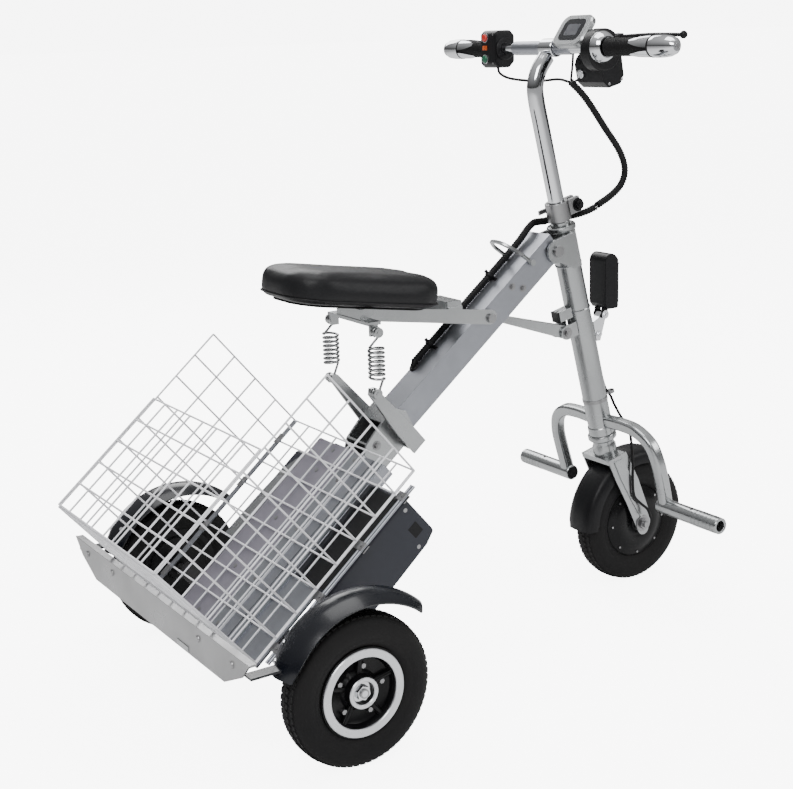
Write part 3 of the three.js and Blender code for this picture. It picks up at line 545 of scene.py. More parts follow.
def buildRingOf():
    # blocks or studs set round an axis along Y
    tree, given, result = nodeTree("ringOf", [("Count", 48), ("Radius", 0.125), ("Across", 0.0),
                                              ("Size Round", 0.008),
                                              ("Size Across", 0.01), ("Size Out", 0.004), ("Twist", 0.0),
                                              ("Start", 0.0), ("Round", 0.0)])
    hoop = addNode(tree, "GeometryNodeMeshCircle", {"Vertices": given.outputs["Count"],
                                                    "Radius": given.outputs["Radius"]})
    size = tree.nodes.new("ShaderNodeCombineXYZ")
    for socket, label in zip(size.inputs, ("Size Out", "Size Across", "Size Round")):
        link(tree, given.outputs[label], socket)
    block = addNode(tree, "GeometryNodeMeshCube", {"Size": size.outputs[0]})
    stud = addNode(tree, "GeometryNodeMeshCylinder", {
        "Vertices": 6, "Radius": maths(tree, "MULTIPLY", given.outputs["Size Round"], 0.5),
        "Depth": given.outputs["Size Across"]})
    lay = addNode(tree, "GeometryNodeTransform", {"Geometry": stud.outputs[0],
                                                  "Rotation": (math.pi / 2, 0, 0)})
    chosen = addNode(tree, "GeometryNodeSwitch", {"Switch": given.outputs["Round"],
                                                  "False": block.outputs[0],
                                                  "True": lay.outputs[0]}, input_type="GEOMETRY")
    number = tree.nodes.new("GeometryNodeInputIndex")
    share = maths(tree, "DIVIDE", maths(tree, "ADD", number.outputs[0], given.outputs["Start"]),
                  given.outputs["Count"])
    angle = maths(tree, "MULTIPLY", share, -2 * math.pi)
    across = tree.nodes.new("ShaderNodeCombineXYZ")
    link(tree, maths(tree, "MULTIPLY", given.outputs["Radius"], maths(tree, "COSINE", angle, 0)),
         across.inputs[0])
    link(tree, maths(tree, "MULTIPLY", maths(tree, "MULTIPLY", given.outputs["Radius"],
                                             maths(tree, "SINE", angle, 0)), -1),
         across.inputs[2])
    link(tree, given.outputs["Across"], across.inputs[1])
    placed = addNode(tree, "GeometryNodeSetPosition", {"Geometry": hoop.outputs[0],
                                                       "Position": across.outputs[0]})
    turn = tree.nodes.new("ShaderNodeCombineXYZ")
    link(tree, angle, turn.inputs[1])
    skew = tree.nodes.new("ShaderNodeCombineXYZ")
    link(tree, given.outputs["Twist"], skew.inputs[0])
    turned = addNode(tree, "FunctionNodeRotateRotation",
                     {"Rotation": turn.outputs[0], "Rotate By": skew.outputs[0]},
                     rotation_space="LOCAL")
    copies = addNode(tree, "GeometryNodeInstanceOnPoints", {
        "Points": placed.outputs[0], "Instance": chosen.outputs[0], "Rotation": turned.outputs[0]})
    closeTree(tree, given, result, copies.outputs[0])
    return tree


trees = {"wireGrid": buildWireGrid(), "tubeAlong": buildTubeAlong(), "wrappedLoom": buildWrappedLoom(),
         "ringOf": buildRingOf()}


def grown(name, treeName, values, finish, local, body, path=None, instead=(), sharp=40):
    # runs a tree and keeps its result as a plain mesh
    seed = bpy.data.meshes.new(name + "_seed")
    if path:
        seed.from_pydata([local @ Vector(p) for p in path], [(i, i + 1) for i in range(len(path) - 1)], [])
    source = bpy.data.objects.new(name + "_source", seed)
    bpy.context.scene.collection.objects.link(source)
    runner = source.modifiers.new("grow", "NODES")
    runner.node_group = trees[treeName]
    sockets = {item.name: item.identifier for item in trees[treeName].interface.items_tree
               if item.item_type == "SOCKET" and item.in_out == "INPUT"}
    for label, value in values.items():
        runner[sockets[label]] = value
    runner[sockets["Finish"]] = look[finish]
    mesh = baked(source)
    bpy.data.objects.remove(source)
    if not path:
        mesh.transform(local @ Matrix.Scale(1000, 4))
    mesh.name = name
    return settle(name, mesh, body, instead, 0.0, sharp)


print("trees", len(trees))

# ---- wheels
wheelLook = {"treadBlocks": 66, "blockHeight": 4.2, "boltsInHub": 5}
tyreProfile = [(75.8, -20), (83, -25.5), (88, -27.8), (90, -27.4), (92, -28.6), (101, -29), (109, -28.4),
               (115.5, -26.4),
               (120.6, -22.4), (123.8, -16), (125.5, -8), (125.9, 0)]


def wheelTyre(label, body, x, y):
    tyre = Piece("tyre")
    tyre.lathe(tyreProfile + [(r, -h) for r, h in reversed(tyreProfile[:-1])] + [(75.8, 0)],
               (x, y, wheelRadius), segments=96)
    tyre.make(f"{label}Tyre", body, ground, [f"{label}"], sharp=50)
    centre = inside(ground, x, y, wheelRadius)
    rows = [("Middle", 125.2, 3.8, 6.6, 0.35, 0), ("MiddleB", 125.2, -3.8, 6.6, -0.35, 0.5),
            ("Inner", 123.0, -13.5, 9, 0.1, 0.25), ("Outer", 123.0, 13.5, 9, -0.1, 0.75)]
    for row, radius, across, wide, twist, start in rows:
        grown(f"{label}Tread{row}", "ringOf", {
            "Count": wheelLook["treadBlocks"], "Radius": radius / 1000, "Across": across / 1000,
                                               "Size Round": 0.0092,
            "Size Across": wide / 1000, "Size Out": wheelLook["blockHeight"] / 1000, "Twist": twist,
                                               "Start": start}, "tyre", centre, body)


def rearWheel(label, side):
    body, y = f"rear_wheel_{label}", side * rearTrack
    wheelTyre(f"rear_tyre_{label}", body, 0, y)
    rim = Piece("hub")
    profile = [(8.5, -24), (25, -24), (27, -15), (57, -14), (66, -21), (75.6, -21), (75.6, 23.5),
               (59, 23.5), (57, 20),
               (55, 12), (50, 9), (34, 7), (29, 12), (27, 24), (18.5, 24), (18.5, 15), (8.5, 15)]
    rim.lathe([(r, side * h) for r, h in profile], (0, y, wheelRadius), segments=72)
    rim.use("ring")
    for inner, outer, low, high in ((59.5, 73.3, 23, 27), (19, 26, 23.5, 26.4)):
        ring = [(inner, low), (outer, low), (outer, high - 1), (outer - 1, high), (inner + 1, high),
                (inner, high - 1)]
        rim.lathe([(r, side * h) for r, h in ring], (0, y, wheelRadius), segments=72)
    rim.use("hub")
    for i in range(5):
        angle = math.radians(72 * i + 18)
        a = Vector((28 * math.cos(angle), y + side * 10, wheelRadius + 28 * math.sin(angle)))
        b = Vector((57 * math.cos(angle), y + side * 15, wheelRadius + 57 * math.sin(angle)))
        rim.rod(a, b, 5.5, 12, 4)
    rim.use("steel")
    valve = Vector((48 * math.cos(2.2), y + side * 9, wheelRadius + 48 * math.sin(2.2)))
    rim.rod(valve, valve + Vector((0, side * 14, 0)), 2.6, 16)
    rim.use("rubber")
    rim.rod(valve + Vector((0, side * 8, 0)), valve + Vector((0, side * 17, 0)), 3.4, 16)
    rim.make(f"rearRim{label.title()}", body, ground, [f"rear_rim_{label}"])
    grown(f"rearRimBolts{label.title()}", "ringOf", {
        "Count": wheelLook["boltsInHub"], "Radius": 0.041, "Across": side * 0.0105, "Size Round": 0.009,
        "Size Across": 0.007, "Round": 1.0, "Start": 0.1}, "steel", inside(ground, 0, y, wheelRadius), body)


rearWheel("left", 1)
rearWheel("right", -1)
wheelTyre("front_tyre", "front_wheel", frontAxleX, 0)
motor = Piece("hub")
cover = [(8.5, -33), (17, -33), (19, -31.4), (30, -31), (33, -32.5), (50, -31), (60, -28), (64, -25.5),
         (72, -24), (75.6, -21)]
motor.lathe(cover + [(r, -h) for r, h in reversed(cover)], (frontAxleX, 0, wheelRadius), segments=72)
motor.make("motorCover", "front_wheel", ground, ["front_motor_hub"])
for side in (-1, 1):
    grown(f"motorScrews{'Right' if side < 0 else 'Left'}", "ringOf", {
        "Count": 8, "Radius": 0.067, "Across": side * 0.0255, "Size Round": 0.005, "Size Across": 0.003,
                "Round": 1.0},
        "steel", inside(ground, frontAxleX, 0, wheelRadius), "front_wheel")
print("wheels")

# ---- rear axle, deck and battery
axleAlong = (wheelRadius - deckFoot) * math.sin(math.radians(deckTilt))
axleDepth = (wheelRadius - deckFoot) * math.cos(math.radians(deckTilt))
axle = Piece("steel")
axle.box(axleAlong - 15, axleAlong + 15, -290, 290, axleDepth - 15, axleDepth + 15)
axle.rod((axleAlong, -371, axleDepth), (axleAlong, 371, axleDepth), 7.9)
axle.use("chrome")
for side in (-1, 1):
    axle.hexBolt((axleAlong, side * 359.4, axleDepth), (0, side, 0), 12.6, 7.5, washer=1)
    axle.rod((axleAlong, side * 368, axleDepth), (axleAlong, side * 371.1, axleDepth), 6.5, 24, 5.4)
axle.make("rearAxle", "frame", deck, ["rear_axle"], bevel=1.2)

deckLook = {"start": -138, "end": 266, "left": 111, "middle": -17, "right": -111}
refine("deck_frame", "aluminium", "frame", 0.8)
plates = Piece("deckPlate")
rear, front, middle = deckLook["start"], deckLook["end"], deckLook["middle"]
for y0, y1 in ((middle, 50.5), (53, deckLook["left"])):
    plates.box(rear, front, y0, y1, -9, -2.6 if y1 < 52 else -6)
plates.use("aluminium")
for y0, y1 in ((-51.5, middle - 1.5), (deckLook["right"], -83), (-81, -53.5)):
    plates.box(rear, front, y0, y1, -9, -2.7 if y0 > -52 else -5)
plates.use("wire")
for y in (middle - 0.7, -52.4):
    plates.box(rear, front, y - 1.6, y + 1.6, -9, -1.4)
# a side plate with a curved edge lies on the left half of the battery case
plates.use("silver")
edge = smooth([(22, 162, 0), (90, 161, 0), (150, 157, 0), (195, 147, 0), (222, 131, 0), (229, 118, 0)], 5)
inner = [(x - 6 if x > 200 else x, max(y - 33, 113), 0) for x, y, _ in reversed(edge)]
plates.slab([(x, y) for x, y, _ in edge] + [(x, y) for x, y, _ in inner], -17, -13.6)
plates.use("steel")
for along in (-118, -20, 92, 205, 252):
    for y in (-36, 40):
        plates.rod((along, y, -4), (along, y, -1.4), 4.2, 20)
plates.make("deckPlates", "frame", deck, bevel=0.5)

caseLook = {"right": -214.6, "left": 164.6, "channel": 113.6}
case = Piece("case")
caseOutline = [(20.4, -16.4), (230.6, -16.4), (230.6, -104), (204, -112.6), (120, -114.6), (36, -114.6),
               (20.4, -99)]
case.plate(caseOutline, caseLook["right"], -caseLook["channel"])
case.plate(caseOutline, caseLook["channel"], caseLook["left"])
case.plate([(x, min(z, -34.6)) for x, z in caseOutline], -caseLook["channel"] - 0.1,
           caseLook["channel"] + 0.1)
case.make("batteryCase", "frame", deck, ["battery_case"], bevel=5)
trim = Piece("plastic")
trim.box(26, 225, -208, -119, -17, -15.4)
trim.plate([(196, -60), (216, -60), (216, -84), (196, -84)], caseLook["right"] - 0.3, caseLook["right"] + 1)
trim.use("steel")
for along, depth in ((34, -30), (34, -92), (216, -30), (190, -100)):
    trim.rod((along, -214.2, depth), (along, -214.9, depth), 4, 16)
trim.make("caseTrim", "frame", deck, bevel=0.5)

crossRear = -191
refine("rear_cross_member", "steel", "frame", 1.2)
crossTrim = Piece("steel")
for y, z in ((-180, 204), (180, 204), (-300, 204), (300, 204)):
    crossTrim.rod((crossRear + 0.3, y, z), (crossRear - 2.6, y, z), 6.5, 24, 5)
crossTrim.use("plastic")
crossTrim.box(crossRear + 1, crossRear + 12, -149, -87, 164, 174)
crossTrim.use("silver")
crossTrim.box(crossRear - 1.4, crossRear + 1, -140, -96, 166, 176)
crossTrim.make("crossTrim", "frame", ground, bevel=0.6)
print("deck")

# ---- mudguards
fenderLook = {"half": 38, "sag": 15, "thick": 3}


def crowned(halfWidth, sag, thick, count=12):
    outer, inner = [], []
    for i in range(count + 1):
        across = -1 + 2 * i / count
        outer.append((halfWidth * across, thick - sag * across * across))
        inner.insert(0, ((halfWidth - thick * 0.6) * across, -sag * across * across))
    return outer + inner


for side, label in ((1, "left"), (-1, "right")):
    guard = Piece("fender")
    y = side * rearTrack
    path, steps = [], 44
    for i in range(steps + 1):
        angle = math.radians(44 + 114 * i / steps)
        radius = 168 - 18 * i / steps
        path.append((radius * math.cos(angle), y, wheelRadius + radius * math.sin(angle)))
    nearEnd = [min(1, 6 * min(i, steps - i) / steps) for i in range(steps + 1)]
    rounding = [min(1, 0.72 + 0.28 * math.sin(share * math.pi / 2)) for share in nearEnd]
    loops = []
    for i, p in enumerate(path):
        out = (Vector(p) - Vector((0, y, wheelRadius))).normalized()
        loops.append([Vector(p) + Vector((0, x * rounding[i], 0)) + out * h for x, h in
                      crowned(fenderLook["half"], fenderLook["sag"], fenderLook["thick"])])
    guard.rings(loops)
    guard.box(crossRear + 4.4, -128, y - 12, y + 12, 196, 200)
    guard.use("chrome")
    for angle in (138, 150):
        turn = math.radians(angle)
        radius = 168 - 18 * (angle - 44) / 114
        foot = Vector((radius * math.cos(turn), y - side * 20, wheelRadius + radius * math.sin(turn)))
        out = Vector((math.cos(turn), -side * 0.35, math.sin(turn))).normalized()
        guard.rod(foot - out * 3, foot + out * 0.4, 5.5, 20, 3.6)
    guard.make(f"rearFender{label.title()}", "frame", ground, [f"rear_fender_{label}"],
               sharp=45)
print("mudguards")

# ---- main beam, its foot and the spring bracket
for node, finish, edge, slot in (
        ("main_beam", "aluminium", 1.6, "satin_aluminium"), ("beam_foot_bracket", "silver", 1.0, "silver"),
        ("spring_bracket", "silver", 0.9, "steel"), ("column_pivot_bolt", "steel", 0.7, "steel"),
        ("seat_pivot_bolt", "steel", 0.7, "steel")):
    refine(node, finish, "frame", edge)
beamTrim = Piece("steel")
for along, depth in ((700, -14), (716, -34)):
    for side in (-1, 1):
        beamTrim.hexBolt((along, side * 30, depth), (0, side, 0), 5, 3.4, washer=0.8)
beamTrim.use("plastic")
for along in (520, 699):
    beamTrim.lathe([(6.6, along - 3), (8.6, along - 3), (8.6, along + 3), (6.6, along + 3)], (0, 22.5, 7.7),
                   "X", 32)
    beamTrim.box(along - 3, along + 3, 20.5, 24.5, 15.4, 22)
    beamTrim.box(along - 3, along + 3, 6, 15.6, -0.4, 1.4)
beamTrim.lathe([(0, -0.6), (10, -0.6), (10, 1.6), (8, 3.6), (0, 3.6)], (468, 22.5, 0), "Z", 32)
beamTrim.make("beamTrim", "frame", beam, bevel=0.5)
footTrim = Piece("steel")
for along, depth in ((300, -20), (346, -16), (346, -48), (262, -48)):
    for side in (-1, 1):
        footTrim.hexBolt((along, side * 35.4, depth), (0, side, 0), 6, 4, washer=1)
footTrim.make("footBolts", "frame", deck, bevel=0.5)
refine("lock_bail", "silver", "bail", 0)
refine("brace_link", "silver", "brace", 1.0)
print("beam")

# ---- seat frame and its springs
refine("seat_frame", "silver", "seat", 1.0)
refine("seat_base_plate", "plastic", "seat", 0.6)
springLook = {"y": 78, "bottom": (220.1, 518.5), "top": (225.9, 626.3), "coil": 13.2, "wire": 2.4,
              "turns": 7.5, "hook": 8}
for side, label in ((1, "left"), (-1, "right")):
    y = side * springLook["y"]
    (lowX, lowZ), (highX, highZ) = springLook["bottom"], springLook["top"]
    middle = (lowX + highX) / 2
    points = [(x, y, z) for x, z in arc(lowX, lowZ, springLook["hook"], 120, 390, 9)]
    turns = int(springLook["turns"] * 24)
    for i in range(turns + 1):
        angle = 2 * math.pi * i / 24
        points.append((middle + springLook["coil"] * math.cos(angle),
                       y + side * springLook["coil"] * math.sin(angle),
                       lowZ + 25 + (highZ - lowZ - 50) * i / turns))
    points += [(x, y, z) for x, z in arc(highX, highZ, springLook["hook"], -30, 240, 9)]
    ends = [ground @ Vector((x, y, z)) for x, z in ((lowX, lowZ + 9), (highX, highZ - 9))]
    grown(f"spring{label.title()}", "tubeAlong", {"Radius": springLook["wire"] / 1000, "Sides": 12},
          "silver", ground,
          ("frame", "seat", *ends), path=points, instead=[f"spring_{label}"])
print("seat frame")

# ---- basket
basketLook = {"wire": 0.0018, "length": 414, "half": 209, "depth": 252, "start": -137}
start, basketHalf, depth = basketLook["start"], basketLook["half"], basketLook["depth"]
length = basketLook["length"]


def wirePanel(name, node, body, local, long, wide, columns, rows):
    grown(name, "wireGrid", {"Length": (long - 3) / 1000, "Width": (wide - 3) / 1000, "Columns": columns,
                             "Rows": rows,
                             "Wire Radius": basketLook["wire"], "Lift": 0.0}, "wire", local, body,
          instead=[node],
          sharp=60)


upright = Matrix.Rotation(math.radians(90), 4, "X")
facingBack = Matrix.Rotation(math.radians(-90), 4, "Y")
wirePanel("basketBase", "basket_base", "frame", deck @ Matrix.Translation((start + 1.5, -204.1, 2.5)),
          length, 411.2, 8, 8)
for side, label in ((1, "left"), (-1, "right")):
    wirePanel(f"basket{label.title()}Wall", f"basket_{label}_wall", "frame",
              deck @ Matrix.Translation((start + 1.5, side * (basketHalf - 1.5), 2.5)) @ upright, length,
              depth, 8, 4)
wirePanel("basketRearWall", "basket_rear_wall", "frame",
          deck @ Matrix.Translation((start - 1.9, -basketHalf + 1.5, 2.5)) @ facingBack, depth,
          2 * basketHalf, 4, 8)
wirePanel("basketLid", "basket_lid", "basket_lid",
          deck @ Matrix.Translation((start + 1.5, -basketHalf + 1.5, depth + 2.9)), 253, 2 * basketHalf, 5,
          8)
rails = Piece("aluminium")
rails.box(start + 0.5, start + 3.5, -basketHalf + 4, basketHalf - 4, depth - 14, depth - 1)
rails.box(start + 0.5, start + 3.5, -basketHalf + 4, basketHalf - 4, 4.5, 15)
rails.box(start + 4, start + length - 4, basketHalf - 16, basketHalf - 4, 4.6, 7.6)
for offset in (217, 224):
    rails.rod((start + 12, -offset, -6), (start + length - 24, -offset, -6), 2.6, 16)
rails.use("steel")
for i in range(4):
    along = start + 40 + 108 * i
    rails.box(along - 8, along + 8, -228, -205, -3.6, -1.8)
    rails.box(along - 8, along + 8, -228, -213, -11, -9)
    rails.rod((along, -220.5, -12), (along, -220.5, 0), 2.4, 12)
    rails.box(along - 11, along + 11, basketHalf - 18, basketHalf - 2, 7.4, 9)
rails.make("basketRails", "frame", deck, bevel=0.4)
print("basket")

# ---- column
columnLook = {"radius": 24.5, "low": 212, "high": 645}
headTube = Piece("silver")
radius, low, high = columnLook["radius"], columnLook["low"], columnLook["high"]
headTube.lathe([(20.5, low), (radius + 1.4, low), (radius + 1.4, low + 16), (radius, low + 18),
                (radius, high - 20),
                (radius + 1.2, high - 18), (radius + 1.2, high), (20.5, high)], axis="Z", segments=64)
headTube.box(-18.4, 3.4, -36.9, 36.9, 578.6, 641.4)
lugOutline = arc(-46.4, 622, 23, 90, 270, 16) + [(-14, 576), (4, 576), (4, 645)]
eyeOutline = arc(-48, 452, 14, 90, 270, 12) + [(-22, 438), (-22, 466)]
for side in (-1, 1):
    headTube.plate(lugOutline, *sorted((side * 31.5, side * 37.5)))
    headTube.plate(eyeOutline, *sorted((side * 13.5, side * 18.5)))
headTube.box(-55, -22, -11, 11, 474, 495)
headTube.use("steel")
for side in (-1, 1):
    headTube.hexBolt((-48, side * 18.5, 452), (0, side, 0), 7.5, 4, washer=1)
headTube.use("plastic")
headTube.box(-56.6, -53, -11.4, 11.4, 473.6, 495.4)
headTube.use("steel")
headTube.rod((-48, 0, 495), (-48, 0, 496), 2, 12)
headTube.make("headTube", "column", column, ["head_tube"], bevel=0.9)
for name, height, spread in (("weldLug", 577, 25.4), ("weldStub", 484, 24.9)):
    bead = Piece("silver")
    bead.lathe([(spread - 1.6, -1.6), (spread + 0.6, -1.6), (spread + 1.2, 0), (spread + 0.6, 1.6),
                (spread - 1.6, 1.6)],
               (0, 0, height), "Z")
    bead.make(name, "column", column)

footrestLook = {"width": 24, "peg": 16, "reach": 300}
for side, label in ((1, "left"), (-1, "right")):
    route = [(3, 22, 240), (3, 70, 242), (3, 110, 237), (4, 141, 215), (4, 153, 180), (5, 154, 140),
             (6, 152, 100), (6, 150, 70)]
    arm = Piece("silver")
    arm.sweep(roundedRect(footrestLook["width"], footrestLook["width"], 7),
              smooth([(u, side * y, w) for u, y, w in route], 8), up=(1, 0, 0))
    peg, reach = footrestLook["peg"], footrestLook["reach"]
    bore = [(0, 210), (10, 210), (10, reach - 1.5), (11.5, reach), (peg - 1.2, reach), (peg, reach - 1.5),
            (peg, 138),
            (peg - 1.4, 136), (0, 136)]
    arm.lathe([(r, side * h) for r, h in bore], (6, 0, 80), segments=48)
    arm.use("plastic")
    arm.rod((6, side * 137, 80), (6, side * 133.5, 80), 13, 32)
    arm.rod((6, side * 226, 95.5), (6, side * 226, 96.2), 3.4, 16)
    arm.make(f"footrest{label.title()}", "column", column, [f"footrest_{label}"], bevel=0.3)
    centre = inside(column, 6, 0, 80)
    for row in range(12):
        grown(f"footGrip{label.title()}{row}", "ringOf", {
            "Count": 30, "Radius": 0.0159, "Across": side * (0.236 + 0.005 * row), "Size Round": 0.0017,
            "Size Across": 0.0034, "Size Out": 0.0008, "Twist": 0.6 if row % 2 else -0.6,
                                                          "Start": 0.5 * (row % 2)},
            "silver", centre, "column")
print("column")

# ---- headlight
lamp = Piece("plastic")
lampRear, lampFront, lampLow, lampHigh = 788, 822, 584, 694
outline = [(lampRear, lampLow + 10), (lampRear + 8, lampLow), (lampFront - 3, lampLow),
           (lampFront, lampLow + 3),
           (lampFront, lampHigh - 13), (lampFront - 5, lampHigh - 6)] + arc(lampRear + 16, lampHigh - 16,
                   16, 55, 180, 10)
lamp.plate(outline, -24.6, 24.6)
for side in (-1, 1):
    lamp.plate(arc(798, 572, 8, 180, 360, 12) + [(806, 586), (790, 586)],
               *sorted((side * 8.5, side * 12.3)))
lamp.box(lampFront - 1, lampFront + 5, -22, 22, lampHigh - 24, lampHigh - 20)
lamp.make("headlightCase", "headlight", ground, ["headlight_case"], bevel=3)
lens = Piece("lens")
lens.box(lampFront + 0.2, lampFront + 4.6, -19.6, 19.6, lampLow + 10.5, lampHigh - 24.5)
lens.use("chrome")
for row in range(4):
    for y in (-10, 0, 10):
        lens.rod((lampFront + 4.4, y, lampLow + 22 + 17 * row),
                 (lampFront + 4.9, y, lampLow + 22 + 17 * row), 3.6, 20)
lens.make("headlightLens", "headlight", ground, ["headlight_lens"], bevel=0.8)
bracket = Piece("chrome")
tongue = [(780.2, 520), (790, 520), (805.5, 572)] + arc(798, 572, 7.5, 20, 160, 8) + [(784, 566),
        (771.2, 560)]
bracket.plate(tongue, -8, 8)
bracket.rod((798, -15, 572), (798, 15, 572), 3)
for side in (-1, 1):
    bracket.hexBolt((798, side * 12.8, 572), (0, side, 0), 6, 3.2, washer=0.8)
    bracket.hexBolt((786, side * 8, 534), (0, side, 0), 5, 4, washer=1)
bracket.make("headlightBracket", "column", ground, ["headlight_bracket"], bevel=0.6)
print("headlight")

# ---- fork, front axle and mudguard
forkLook = {"steerer": 19, "bladeInner": 38, "offset": 26.25}
fork = Piece("silver")
steerer, bladeInner, forkOffset = forkLook["steerer"], forkLook["bladeInner"], forkLook["offset"]
fork.lathe([(16.4, 232), (steerer, 232), (steerer, 663), (18, 664), (16.4, 664)], axis="Z")
fork.lathe([(0, 160), (23, 160), (24, 170), (24, 184), (21.5, 188), (21.5, 196), (24.5, 199), (28, 200),
            (29, 202),
            (29, 209), (27.5, 211.4), (0, 211.4)], axis="Z")
fork.lathe([(19.2, 645.5), (27, 645.5), (28, 647), (28, 654), (26.5, 656), (19.2, 656)], axis="Z")
fork.box(-28.8, 18.9, -41.4, 41.4, 157, 167.4)
blade = [(-29.5, 168), (19.5, 168), (37, 100), (50.6, 10), (46, -8)] + arc(forkOffset, -12, 14, -10, -150,
        8) + [
    (10, -8), (-4, 60), (-20, 120)]
ridge = [(-16, 160), (6, 160), (24, 96), (36, 24), (24, 14), (8, 62), (-8, 118)]
for side in (-1, 1):
    fork.plate(blade, *sorted((side * bladeInner, side * (bladeInner + 4))))
    fork.plate(ridge, *sorted((side * (bladeInner + 3.6), side * (bladeInner + 6.4))))
fork.make("fork", "steering", column, ["fork"], bevel=1.6)
frontAxle = Piece("steel")
frontAxle.rod((forkOffset, -55.8, 0), (forkOffset, 55.8, 0), 6.9, 32)
for side in (-1, 1):
    frontAxle.hexBolt((forkOffset, side * 42.4, 0), (0, side, 0), 11.8, 6, washer=1.4)
frontAxle.make("frontAxle", "steering", column, ["front_axle"], bevel=0.5)
guard = Piece("plastic")
section = [(-35, -22), (-35.4, -6), (-32, 2), (-26, 5.6), (-12, 7), (12, 7), (26, 5.6), (32, 2), (35.4, -6),
           (35, -22),
           (32.4, -22), (32.6, -6), (29.6, -0.4), (24, 2.8), (11, 4), (-11, 4), (-24, 2.8), (-29.6, -0.4),
           (-32.6, -6), (-32.4, -22)]
centre = Vector((forkOffset + 10, 0, 4))
loops = []
for i in range(41):
    angle = math.radians(62 + 106 * i / 40)
    out = Vector((math.cos(angle), 0, math.sin(angle)))
    pull = 1 if 2 <= i <= 38 else 0.94
    loops.append([centre + out * (141 + h * pull) + Vector((0, y * pull, 0)) for y, h in section])
guard.rings(loops)
guard.use("steel")
for y in (-14, 14):
    guard.rod(centre + Vector((-20, y, 146)), centre + Vector((-20, y, 149.6)), 4, 16, 3)
guard.make("frontFender", "steering", column, ["front_fender"], sharp=50)

clamp = Piece("steel")
clamp.lathe([(16.4, 664.6), (22, 664.6), (23, 666), (23, 700.6), (22, 702), (16.4, 702)], axis="Z")
for low, high in ((-13, -4), (4, 13)):
    clamp.box(14, 46, low, high, 670, 700)
clamp.rod((40, -23, 684), (40, 14.6, 684), 4.8, 24)
clamp.use("plastic")
clamp.hexBolt((40, -13, 684), (0, -1, 0), 9, 7, washer=1)
clamp.make("stemClamp", "steering", column, ["stem_clamp"], bevel=0.9)
quick = Piece("steel")
quick.rod((40, 23, 678), (40, 23, 690), 6.9, 32)
quick.sweep(roundedRect(9.6, 4, 1.8, 3),
            smooth([(40, 26.6, 684), (20, 28, 684), (0, 28.4, 684), (-16, 28, 684.4), (-26, 26.4, 685)]),
            up=(0, 1, 0))
quick.make("quickLever", "quick_release", column, ["quick_release_lever"], bevel=0.4)
print("fork")

# ---- stem, handlebar and grips
stem = Piece("chrome")
stem.sweep(circle(15.5, 40),
           smooth([(0, 0, 540), (0, 0, 640), (0, 0, 740), (0, 0, 850), (0, 0, 895), (4, 0, 925),
                                     (19, 0, 950), (42, 0, 969)], 8), up=(0, 1, 0))
stem.make("stemTube", "stem", column, ["stem_tube"], sharp=50)
bar = Piece("chrome")
barU, barW = barAt
bar.rod((barU, -276, barW), (barU, 276, barW), 11, 48)
bar.lathe([(11, -19), (15.5, -19), (17, -17.5), (17, 17.5), (15.5, 19), (11, 19)], (barU, 0, barW))
bar.use("aluminium")
bar.lathe([(11, 21), (13, 22), (13, 104), (11, 106)], (barU, 0, barW), segments=48)
bar.lathe([(11, -21), (13, -22), (13, -62), (11, -64)], (barU, 0, barW), segments=48)
bar.make("handlebar", "stem", column, ["handlebar"], bevel=0.4)

gripLook = {"radius": 16.3, "rib": 0.7, "pitch": 4.2}


def gripSleeve(name, body, node, start, end, side):
    sleeve = Piece("rubber")
    profile, along = [(11.7, start), (15, start), (gripLook["radius"], start + 1.4)], start + 4
    while along < end - 4:
        profile += [(gripLook["radius"], along), (gripLook["radius"] - gripLook["rib"], along + 1),
                    (gripLook["radius"] - gripLook["rib"], along + 2), (gripLook["radius"], along + 3)]
        along += gripLook["pitch"]
    profile += [(gripLook["radius"], end - 1.4), (15, end), (11.7, end)]
    sleeve.lathe([(r, side * h) for r, h in profile], (barU, 0, barW), segments=48)
    sleeve.make(name, body, column, [node], sharp=25)


def barEnd(name, body, node, side):
    # a bright cap with fingers laid over the grip, and a dome past a black ring
    cap = Piece("chrome")
    cap.lathe([(r, side * h) for r, h in ((0, 279), (18.2, 279), (19.2, 284), (19.4, 292), (19, 304),
                                          (17.6, 318),
                                          (14.4, 328), (8.6, 333.4), (0, 335))], (barU, 0, barW),
              segments=64)
    for finger in range(4):
        middle = math.radians(45 + 90 * finger)
        loops = []
        for step in range(9):
            along = 229 + 49 * step / 8
            spread = math.radians(10 + 26 * (1 - (1 - step / 8) ** 2))
            loops.append([Vector((barU + r * math.cos(middle + a), side * along,
                                  barW + r * math.sin(middle + a)))
                          for r, angles in ((18.6 - 1.6 * (1 - step / 8) ** 3, (-1, -0.5, 0, 0.5, 1)),
                                            (15.6, (1, 0.5, 0, -0.5, -1)))
                          for a in (spread * k for k in angles)])
        cap.rings(loops)
    cap.use("rubber")
    cap.lathe([(12, side * 276.6), (18.9, side * 276.6), (19.3, side * 278), (18.9, side * 279.4),
               (12, side * 279.4)],
              (barU, 0, barW))
    cap.use("steel")
    cap.rod((barU, side * 333.6, barW), (barU, side * 334.9, barW), 4, 24)
    cap.make(name, body, column, [node], sharp=40)


gripSleeve("gripLeft", "stem", "grip_left", 194, 277.4, 1)
gripSleeve("throttleGrip", "throttle", "throttle_grip", 162, 277.4, -1)
barEnd("endCapLeft", "stem", "end_cap_left", 1)
barEnd("endCapRight", "throttle", "end_cap_right", -1)
print("handlebar")

